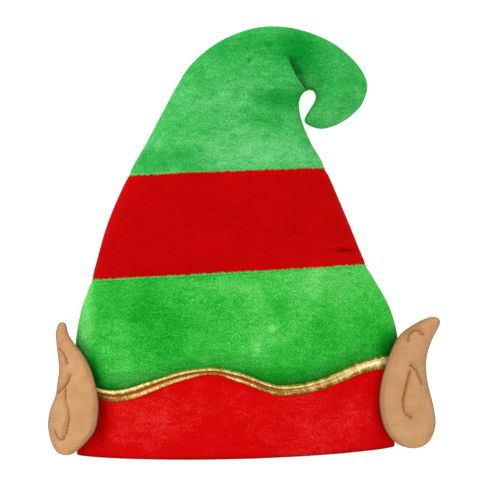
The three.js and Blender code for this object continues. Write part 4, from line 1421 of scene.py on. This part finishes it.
def ear_mesh(ear):
    outline = np.array(ear["outline"])
    inner, outer = row_curve(ear_plan(ear, outline[:, :2])), row_curve(ear_plan(ear, outline[:, 2:]))
    last = len(outline) - 1
    rows = last * (1 - np.cos(np.pi * (np.arange(EAR_ROWS) + 0.5) / EAR_ROWS)) / 2
    rows = 0.5 * rows + 0.5 * last * (np.arange(EAR_ROWS) + 0.5) / EAR_ROWS
    steps = -np.cos(np.pi * np.arange(EAR_STEPS + 1) / EAR_STEPS)
    share = (steps[None, :, None] + 1) / 2
    plan = inner(rows)[:, None, :] * (1 - share) + outer(rows)[:, None, :] * share
    x, y = plan[..., 0], plan[..., 1]
    seat = ear_seat(ear, x, y)
    width = np.linalg.norm(outer(rows) - inner(rows), axis=-1)[:, None]
    depth = EAR_DEPTH * np.minimum(1, width / (1.6 * EAR_DEPTH))
    fullness = np.sqrt(np.maximum(0, 1 - np.abs(steps) ** 3))[None, :]
    lines = [np.column_stack([smooth_line(ear_plan(ear, line)), np.ones(40)]) for line in ear["stitches"]]
    to_line = np.min([np.abs(along_line(x, y, line)[0]) for line in lines], axis=0)
    to_rim = share[..., 0] * width - RIM_SEAM
    valley = STITCH_DEPTH * np.exp(-((to_line / STITCH_SPREAD) ** 2)) * fullness
    valley += RIM_SEAM_DEPTH * np.exp(-((to_rim / 0.9) ** 2)) * (width > 5 * RIM_SEAM)
    base = seat(x, y)
    slope = (seat(x + NUDGE, y) - base) / NUDGE
    steep = np.minimum(MAX_STEEPNESS, np.hypot(1, slope))
    eased, eased_steep = eased_grid(base), eased_grid(steep)
    padded = EAR_BACK_SHARE * depth + (1 - EAR_BACK_SHARE) * depth * fullness - valley
    front = base + (eased - base) * fullness + padded * (steep + (eased_steep - steep) * fullness)
    back = base + (EAR_BACK_SHARE * depth * (1 - fullness)) * steep
    front_points = np.dstack([x, y, front])
    back_points = np.dstack([x, y, back])[:, 1:-1][:, ::-1]
    rings = np.concatenate([front_points, back_points], axis=1)
    per_ring = rings.shape[1]
    poles = rings[[0, -1]].mean(1)
    points = np.vstack([rings.reshape(-1, 3), poles])
    faces, _ = ring_faces(EAR_ROWS, per_ring, loop=False)
    step = np.arange(per_ring)
    first, final = len(points) - 2, len(points) - 1
    end = (EAR_ROWS - 1) * per_ring
    start_cap = np.stack([(step + 1) % per_ring, step, np.full(per_ring, first), np.full(per_ring, first)], -1)
    end_cap = np.stack([end + step, end + (step + 1) % per_ring, np.full(per_ring, final), np.full(per_ring, final)], -1)
    quads = facing_out(points, np.concatenate([faces, start_cap, end_cap]))
    polygons = [list(dict.fromkeys(quad)) for quad in quads.tolist()]
    # painted shade beside the sewn lines, the rim seam and the ear's edges
    sewn = np.zeros((EAR_ROWS, per_ring))
    fold_shade = 0.5 * np.exp(-((to_line / 1.0) ** 2)) + 0.2 * np.exp(-((to_rim / 0.7) ** 2))
    sewn[:, : EAR_STEPS + 1] = fold_shade + 0.2 * smoothstep(np.abs(steps), 0.94, 1.0)[None, :]
    # painted shade that grows towards the rim, half as strong on the back
    from_rim = np.minimum(share[..., 0], 1 - share[..., 0]) * width
    rim = np.full((EAR_ROWS, per_ring), RIM_SHADE / 2)
    rim[:, : EAR_STEPS + 1] = RIM_SHADE * np.exp(-from_rim / RIM_SHADE_REACH)
    held = np.ones((EAR_ROWS, per_ring))
    held[:, : EAR_STEPS + 1] = np.maximum(np.exp(-((to_line / 1.5) ** 2)), smoothstep(np.abs(steps), 0.8, 0.95)[None, :])
    attributes = {"sewn": np.append(sewn.ravel(), [0, 0]), "rim": np.append(rim.ravel(), [RIM_SHADE, RIM_SHADE])}
    made = make_object(f"ear_{ear['name']}_jersey", points, polygons, [ear_jersey], attributes=attributes)
    return made, np.append(held.ravel(), [1, 1])


# %% [markdown]
# ## Wadding and thread
# The drawn shape is only where the ear starts. Wadding pushes the jersey out, and the thread holds it back, so the
# cloth bulges between the sewn lines and wrinkles where it runs into them. Blender's cloth simulation does the same:
# the back, the rim and the sewn lines are held, the front is free and a little too large, and air inside presses.
# Movement is capped, since a real ear's wadding is thin. Thread comes last, laid in the valleys that the cloth made.

# %% Press the wadding out
PRESS = 4.0
PRESS_FRAMES = 20
LARGEST_PUFF = 2.2
SPARE_CLOTH = 0.05
EAR_SHADE = 0.65
EAR_SHADE_REACH = 7.0


def shade_beside(ear, cloth):
    """Darkens the cloth close to the ear, which keeps the light out of its pile."""
    count = len(cloth.data.vertices)
    places = np.zeros(3 * count, dtype=np.float32)
    cloth.data.vertices.foreach_get("co", places)
    x, y, z = (places.reshape(-1, 3) / MM - OFFSET).T
    inner = smooth_line(ear_plan(ear, np.array(ear["outline"])[:, :2]))
    away = along_line(x, y, np.column_stack([inner, np.ones(len(inner))]))[0]
    shade = EAR_SHADE * np.exp(-((away / EAR_SHADE_REACH) ** 2)) * smoothstep(z, 0.2 * HAT_DEPTH, 0.4 * HAT_DEPTH)
    fold = np.zeros(count, dtype=np.float32)
    cloth.data.attributes["fold"].data.foreach_get("value", fold)
    cloth.data.attributes["fold"].data.foreach_set("value", np.maximum(fold, shade).astype(np.float32))


def puff(pad, held):
    """Lets pressure move the pad's cloth, except where held is 1."""
    worked = bpy.data.objects.new("pressed", pad.data.copy())
    bpy.context.scene.collection.objects.link(worked)
    group = worked.vertex_groups.new(name="held")
    for index, weight in enumerate(held.tolist()):
        group.add([index], weight, "REPLACE")
    cloth = worked.modifiers.new("wadding", "CLOTH")
    cloth.point_cache.frame_end = PRESS_FRAMES
    cloth.collision_settings.use_collision = False
    settings = cloth.settings
    settings.vertex_group_mass = "held"
    settings.use_pressure = True
    settings.uniform_pressure_force = PRESS
    settings.mass = 0.15
    settings.bending_stiffness = 0.3
    settings.shrink_min = -SPARE_CLOTH
    settings.effector_weights.gravity = 0
    for frame in range(1, PRESS_FRAMES + 1):
        bpy.context.scene.frame_set(frame)
    pressed = worked.evaluated_get(bpy.context.evaluated_depsgraph_get()).data
    before, after = np.zeros((2, len(pad.data.vertices), 3), dtype=np.float32)
    pad.data.vertices.foreach_get("co", before.ravel())
    pressed.vertices.foreach_get("co", after.ravel())
    bpy.data.objects.remove(worked)
    bpy.context.scene.frame_set(1)
    moved = after - before
    distance = np.linalg.norm(moved, axis=1, keepdims=True) / MM
    moved *= LARGEST_PUFF * np.tanh(distance / LARGEST_PUFF) / np.maximum(distance, 1e-6)
    moved[:, :2] *= 0.5
    result = before + moved
    result[:, 2] = np.maximum(result[:, 2], 0)
    pad.data.vertices.foreach_set("co", result.ravel())
    pad.data.update()
    print(pad.name, "puffed by up to", round(float(np.abs(moved).max() / MM), 2), "mm")


# %% Thread in the sewn lines
def cotton(name, deep, pale):
    material, tree, shader = new_material(name)
    place = add_node(tree, "ShaderNodeTexCoord").outputs["Object"]
    plies = object_noise(tree, place, 0.6, detail=2)
    tree.links.new(ramp(tree, plies, [(0.35, deep), (0.65, pale)]), shader.inputs["Base Color"])
    bump = add_node(tree, "ShaderNodeBump", {"Height": plies, "Strength": 0.5, "Distance": 0.2 * MM})
    tree.links.new(bump.outputs[0], shader.inputs["Normal"])
    shader.inputs["Roughness"].default_value = 0.6
    return material


sewing_thread = cotton("polyester sewing thread, twisted, rust brown", "8E3E08", "C86A20")


def stitch_tree():
    tree, start = new_tree("stitches along a line", ["Spacing", "Length", "Thickness", "Seed"])
    ball = {"Radius": 0.5, "Subdivisions": 2}
    stitch = add_node(tree, "GeometryNodeMeshIcoSphere", ball).outputs[0]
    tangent = add_node(tree, "GeometryNodeInputTangent").outputs[0]
    turned = add_node(tree, "FunctionNodeAlignRotationToVector", {"Vector": tangent}, axis="Z").outputs[0]
    thick = start.outputs["Thickness"]
    own = add_node(tree, "FunctionNodeRandomValue", {2: 0.8, 3: 1.1, "Seed": start.outputs["Seed"]}).outputs[1]
    long = add_node(tree, "ShaderNodeMath", {0: start.outputs["Length"], 1: own}, operation="MULTIPLY").outputs[0]
    size = add_node(tree, "ShaderNodeCombineXYZ", {"X": thick, "Y": thick, "Z": long}).outputs[0]
    values = {"Points": spaced_points(tree, start), "Instance": stitch, "Rotation": turned, "Scale": size}
    finish_tree(tree, add_node(tree, "GeometryNodeInstanceOnPoints", values).outputs[0], sewing_thread)
    return tree


STITCH_SIZES = {"Spacing": 3.3 * MM, "Length": 3.3 * MM, "Thickness": 0.9 * MM, "Seed": 5}
THREAD_RAISED = (0, 0, 0.3)
stitches = stitch_tree()


def lay_thread(ear, pad):
    """Stitches on the pad's own surface, along the ear's sewn lines."""
    skin = BVHTree.FromPolygons([v.co for v in pad.data.vertices], [p.vertices for p in pad.data.polygons])
    lines = []
    for line in ear["stitches"]:
        plan = smooth_line(ear_plan(ear, line), 60)
        drops = [skin.ray_cast(Vector((*((p + OFFSET[:2]) * MM), 1.0)), Vector((0, 0, -1)))[0] for p in plan]
        lines.append(np.array([np.array(hit) / MM - OFFSET for hit in drops if hit]) + THREAD_RAISED)
    thread = line_object(f"ear_{ear['name']}_thread", lines)
    grow(thread, stitches, STITCH_SIZES)
    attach(thread, "root")


for ear in EARS:
    padded_ear, held = ear_mesh(ear)
    puff(padded_ear, held)
    lay_thread(ear, padded_ear)
    shade_beside(ear, base)
    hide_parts(f"ear_{ear['name']}")
    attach(padded_ear, "root")

# %% [markdown]
# ## Floor and light
# Catalogue pictures like this one are cut out on white. A table of opal acrylic gives the same without a cut: its own
# glow, which stands for lamps below it, fills the hat's shadow until only a breath of it is left. Above are one large
# soft box, a smaller one from the top left that gives the folds their shade, and a bright surround.

# %% Floor
FLOOR_SIZE = 9000.0
bpy.ops.mesh.primitive_plane_add(size=FLOOR_SIZE * MM)
floor = bpy.context.object
floor.name = "floor"
paper, paper_tree, paper_shader = new_material("opal acrylic table, lit from below")
paper_grain = object_noise(paper_tree, add_node(paper_tree, "ShaderNodeTexCoord").outputs["Object"], 60, detail=2)
paper_tree.links.new(ramp(paper_tree, paper_grain, [(0.3, "C6C6C5"), (0.7, "CBCBCA")]), paper_shader.inputs["Base Color"])
paper_shader.inputs["Roughness"].default_value = 0.9
paper_shader.inputs["Emission Color"].default_value = linear("FFFFFF")
paper_shader.inputs["Emission Strength"].default_value = 0.74
floor.data.materials.append(paper)

# %% Lights and surround


def soft_box(name, place, aim, size, power, colour="FFFFFF"):
    data = bpy.data.lights.new(name, "AREA")
    data.shape = "RECTANGLE"
    data.size, data.size_y = (side * MM for side in size)
    data.energy = power
    data.color = linear(colour)[:3]
    light = bpy.data.objects.new(name, data)
    light.location = Vector(place) * MM
    light.rotation_euler = (Vector(aim) - Vector(place)).to_track_quat("-Z", "Y").to_euler()
    bpy.context.scene.collection.objects.link(light)
    return light


soft_box("overhead", (0, 200, 1700), (0, 0, 0), (900, 900), 7)
soft_box("top left", (-1300, 900, 1100), (0, 0, 0), (700, 700), 9)
soft_box("right fill", (1400, 200, 900), (0, 0, 0), (700, 700), 2.5)

world = bpy.data.worlds.new("surround")
bpy.context.scene.world = world
world.use_nodes = True
world.node_tree.nodes["Background"].inputs["Color"].default_value = linear("FFFFFF")
world.node_tree.nodes["Background"].inputs["Strength"].default_value = 0.62
bpy.context.scene.view_settings.view_transform = "Standard"
print("lights:", [light.name for light in bpy.data.lights])
